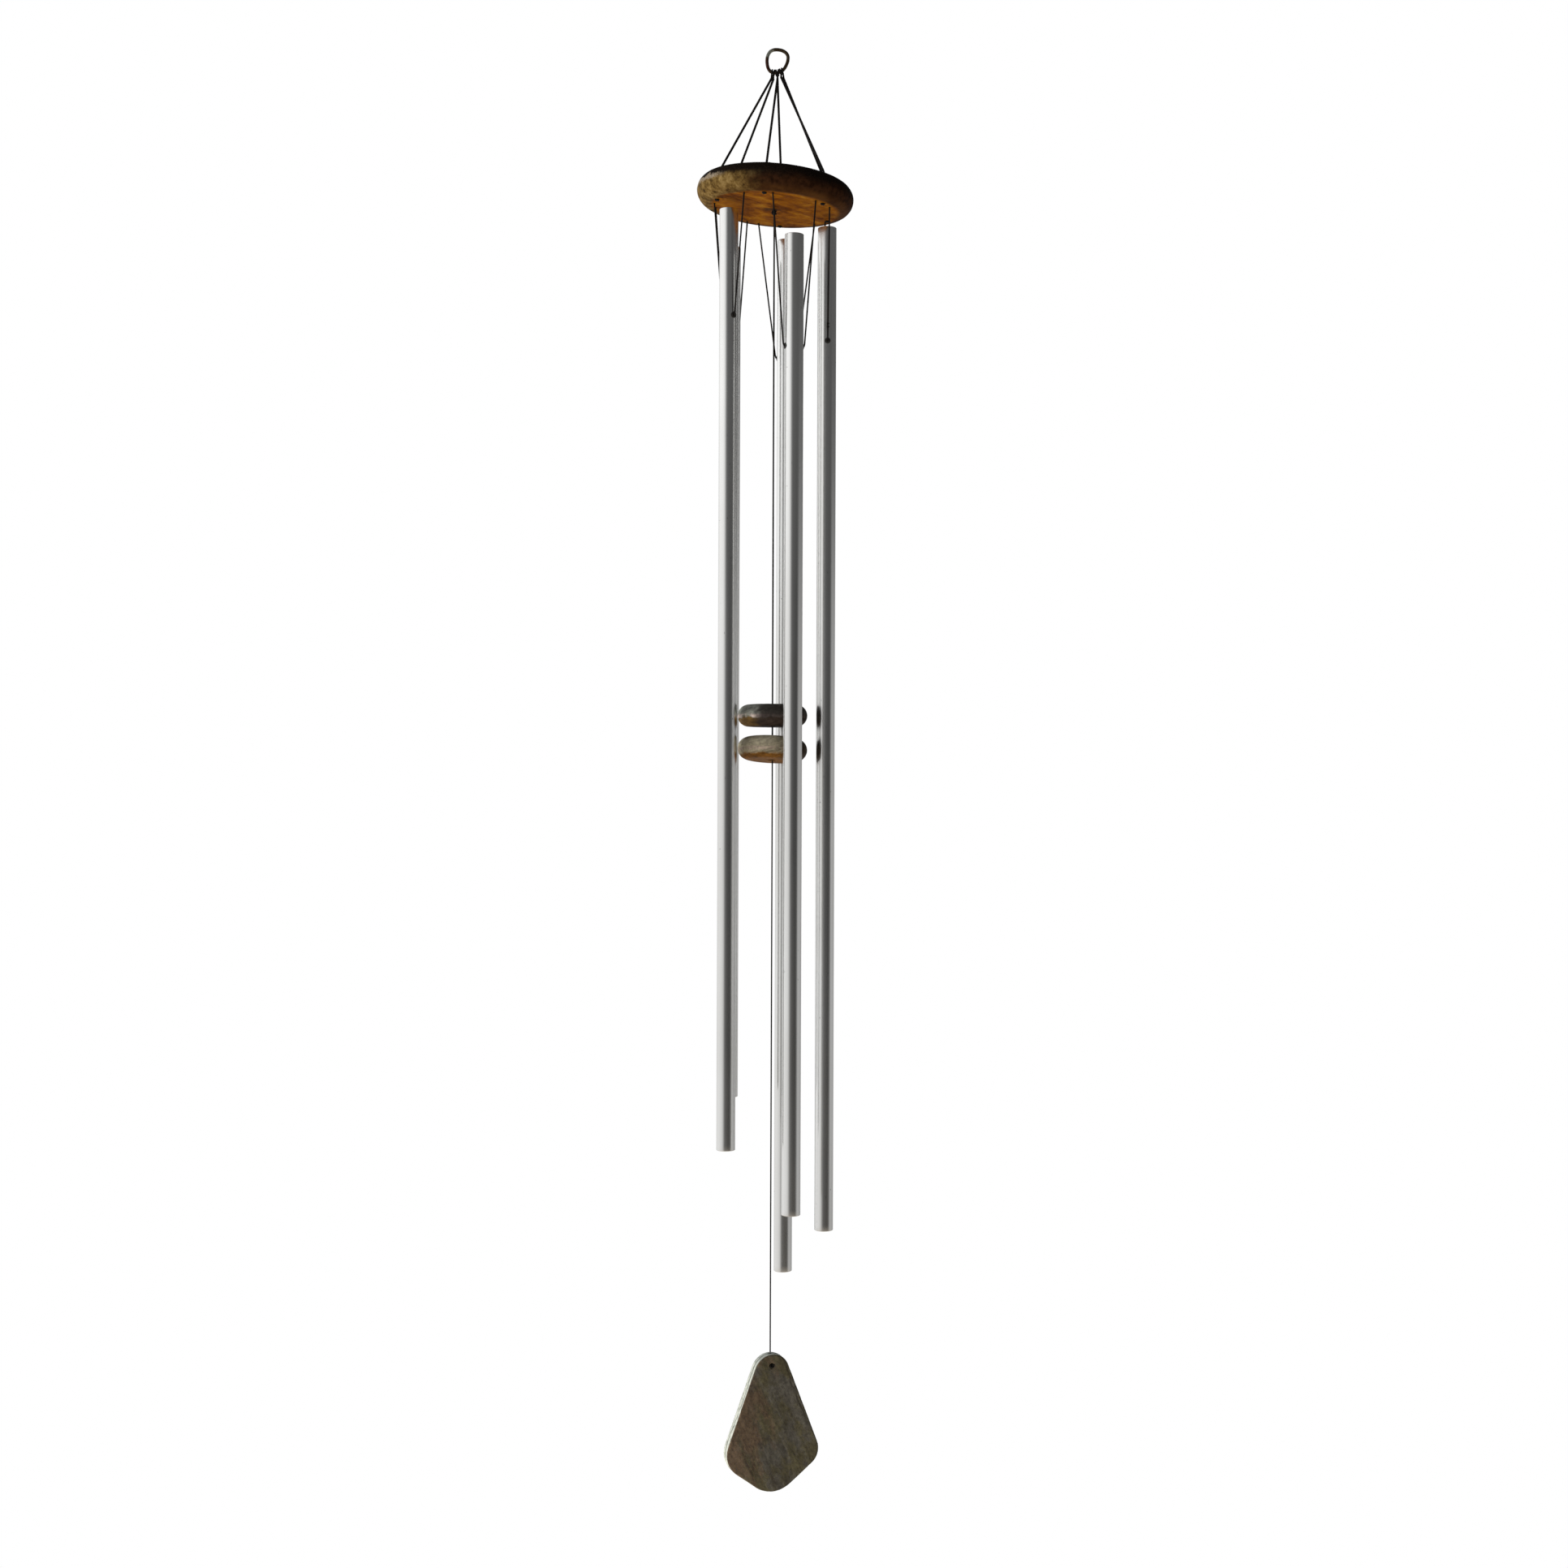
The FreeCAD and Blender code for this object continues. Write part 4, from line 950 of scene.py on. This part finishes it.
def make_grommets(name, hole, along):
    base, lip_centre, lip = 9.56 * MM, 9.63 * MM, 0.6 * MM
    bore, neck, flange, inside = 1.95 * MM / 2, 4.7 * MM / 2, 3.0 * MM, 7.3 * MM
    profile = [(bore, inside), (neck, inside), (neck, base), (flange - 0.1 * MM, base),
               (flange, base + 0.1 * MM), (flange - 0.05 * MM, base + 0.25 * MM)]
    profile += arc((bore + lip, lip_centre), lip, 80, 180, 10)
    shapes = []
    for way in (along, -along):
        shapes.append(lathe(profile, 48, at(hole, way), closed=True))
    placed(made(f"eyelets_{name}", shapes), RUBBER, f"tube_{name}", "grommet_rubber", f"grommets_{name}")


# Millimetres up the strand, then each knot's width, or the way that each loose end points.
TIE_OFF_KNOTS = ((13.4, 3.3), (16.6, 3.2))
TIE_OFF_ENDS = ((12.6, -1), (17.4, 1))


def make_tie_off():
    """The two small knots where the lacing's ends are tied on the right tube's front strand."""
    for name, _, _, hole, along, mouths in tube_places():
        if name != "right":
            continue
        turn = hole - along * GROMMET_TURN
        strand = (mouths[0] - turn).normalized()
        shapes = []
        for rise, size in TIE_OFF_KNOTS:
            shapes.append(knot(at(turn + strand * (rise * MM), strand), size * MM, 2.6 * MM, 1.25 * MM))
        for rise, lean in TIE_OFF_ENDS:
            start = turn + strand * (rise * MM)
            tip = start + strand * (lean * 2.4 * MM) + Vector((-0.6 * lean, -1.5, 0)) * MM
            shapes.append(stub([start, start + Vector((0, -1.2, 0)) * MM, tip], 1.1 * MM))
        tied("tie_off_knots", shapes, "cord_right", "tie_off_knot")


# ---- centre cord and strikers ----------------------------------------


def make_striker(name, centre, lean, material, body, cracks, seed):
    """A bullnosed disc of weathered wood, its cracks as (angle, height, slant, length, depth)."""
    half, hole, recess = STRIKER_THICKNESS / 2, STRIKER_HOLE / 2, STRIKER_RECESS / 2
    flat = STRIKER_DIAMETER / 2 - half
    ceiling = -half + STRIKER_RECESS_DEPTH
    worn = 0.5 * MM
    profile = run((hole, ceiling), (hole, half - worn), 10) + run((hole + worn, half), (flat, half), 26)
    profile += arc((flat, 0), half, 90, -90, 56) + run((flat, -half), (recess + worn, -half), 22)[1:]
    profile += [(recess + worn, -half)] + run((recess, -half + worn), (recess, ceiling), 6)
    profile += [(recess, ceiling)]
    piece = made(name, [lathe(profile, 400, closed=True)])

    def weathering(p, _):
        depth = 0.10 * noise.noise(p * 60 + Vector((seed, 0, 0))) + 0.05 * noise.noise(p * 300)
        depth += 0.04 * noise.noise(Vector((p.x * 60, p.y * 60, p.z * 700)))
        depth -= 0.5 * max(0.0, noise.noise(p * 210 + Vector((0, seed, 0))) - 0.42)
        around = math.degrees(math.atan2(p.y, p.x))
        for angle, height, slant, length, deep in cracks:
            across = math.radians(around - angle) * STRIKER_DIAMETER / 2
            wander = 0.7 * MM * noise.noise(Vector((across * 300, seed, 0)))
            off = p.z - height * MM - slant * across - wander
            if abs(across) < length * MM / 2:
                taper = 1 - (2 * across / (length * MM)) ** 2
                depth -= deep * taper * math.exp(-((off / (0.38 * MM)) ** 2))
        return depth * MM

    displace(piece, weathering)
    piece.data.transform(Matrix.Translation(centre) @ lean)
    placed(piece, material, body, "striker_wood", name.replace("weathered_", ""))


# ---- sail ------------------------------------------------------------


SAIL_SEAMS = (-3.4, -0.6, 2.6)   # the depths of the seams between its layers, in millimetres


def make_sail():
    """The board's own outline, worn: cracked layers along its edge and a rough face."""
    piece = bpy.data.objects.new("weathered_sail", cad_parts["sail"].data.copy())
    bpy.context.scene.collection.objects.link(piece)
    modify(piece, "REMESH", mode="VOXEL", voxel_size=0.75 * MM)
    modify(piece, "SMOOTH", factor=0.5, iterations=3)
    apply_modifiers(piece)

    def wear(point, normal):
        p = point - SAIL_TOP
        wander = 0.3 * MM * noise.noise(p * 60)
        layers = sum(math.exp(-(((p.dot(SAIL_THROUGH) - seam * MM - wander) / (0.5 * MM)) ** 2))
                     for seam in SAIL_SEAMS)
        depth = 0.10 * noise.noise(p * 70) + 0.05 * noise.noise(Vector((p.x * 260, p.y * 200, p.z * 70)))
        on_edge = 1 - abs(normal.dot(SAIL_THROUGH))
        depth -= on_edge * (0.30 * layers + 0.25 * max(0.0, noise.noise(p * 130)))
        return depth * MM

    piece.data.polygons.foreach_set("use_smooth", [True] * len(piece.data.polygons))
    displace(piece, wear)
    placed(piece, SAIL_WOOD, "sail", "sail_wood", "sail")


def make_sail_knot():
    turn = Matrix.Rotation(SAIL_YAW, 4, "Z")
    front = Matrix.Translation(SAIL_EYE) @ turn
    face = -SAIL_THICKNESS / 2

    def local(x, y, z):
        return front @ Vector((x * MM, face + y * MM, z * MM))

    middle = SAIL_THICKNESS / 2 / MM
    loop = [local(0, middle, 11.2), local(0, middle, 4), local(0.2, 4.6, 1.6), local(0.6, 1.0, 1.2),
            local(1.7, -0.4, 0.9), local(1.7, -0.5, -1.1), local(0, -0.6, -1.6), local(-1.6, -0.2, -0.9),
            local(-1.2, 0.6, 0.9), local(0.2, 1.5, 0.4), local(0.4, 2.8, -0.4)]
    ball = knot(Matrix.Translation(local(0, 3.0, -0.2)) @ turn @ Matrix.Rotation(math.pi / 2, 4, "X"),
                4.2 * MM, 3.4 * MM, TAIL_LINE)
    tied("sail_eye_knot", [stub(loop, TAIL_LINE), ball], "sail", "sail_knot")


# ---- make everything -------------------------------------------------

make_ring()
make_hitches()
make_disc()
make_strands()
make_lacing()
for tube_name, tube_length, tube_top, tube_hole, tube_along, tube_mouths in tube_places():
    make_tube(tube_name, tube_length, tube_top, tube_hole, tube_along)
    make_grommets(tube_name, tube_hole, tube_along)
    make_tube_cord(tube_name, tube_hole, tube_along, tube_mouths)
make_tie_off()

anchor_top = DISC_PLACE @ Matrix.Translation((0, 0, DISC_THICKNESS + 2.5 * MM))
anchor_shapes = [
    knot(anchor_top, 6.0 * MM, 5.0 * MM, 2.0 * MM),
    stub([DISC_PLACE @ Vector((0, 0, z * MM)) for z in (0.5, 14, 28)], LINE),
]
tied("anchor_knot", anchor_shapes, "canopy", "centre_anchor")
for knot_name, knot_body, knot_node, width, tall in (
    ("pivot_knot", "centre_pivot", "centre_cord_knot", 6.0, 5.0),
    ("upper_striker_stop", "centre_line", "upper_striker_knot", 5.6, 4.2),
    ("lower_striker_stop", "tail_pivot", "lower_striker_knot", 5.6, 4.2),
):
    lower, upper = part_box(knot_node)
    where = AXIS + UP * ((lower.z + upper.z) / 2)
    shapes = [knot(at(where), width * MM, tall * MM, 1.9 * MM),
              stub([where + UP * (z * MM) for z in (tall / 2, 0, -tall / 2)], LINE)]
    tied(knot_name, shapes, knot_body, knot_node)

for line_name, line_body, line_node, thickness in (("striker_line", "centre_line", "centre_cord", LINE),
                                                  ("sail_line", "tail_line", "tail_cord", TAIL_LINE)):
    lower, upper = (AXIS + UP * corner.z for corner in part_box(line_node))
    declared(line_name, [upper, upper.lerp(lower, 0.5), lower], thickness, line_body, line_node)
make_striker("weathered_upper_striker", UPPER_STRIKER, Matrix(), UPPER_WOOD, "upper_striker",
             [(-155, 1.0, 0.26, 16, 0.9), (-118, 2.2, 0.10, 9, 0.45)], 3)
make_striker("weathered_lower_striker", LOWER_STRIKER, LOWER_LEAN, LOWER_WOOD, "lower_striker",
             [(-122, 3.6, 0.45, 8, 0.6), (-60, -1.5, 0.05, 12, 0.4)], 11)
make_sail()
make_sail_knot()
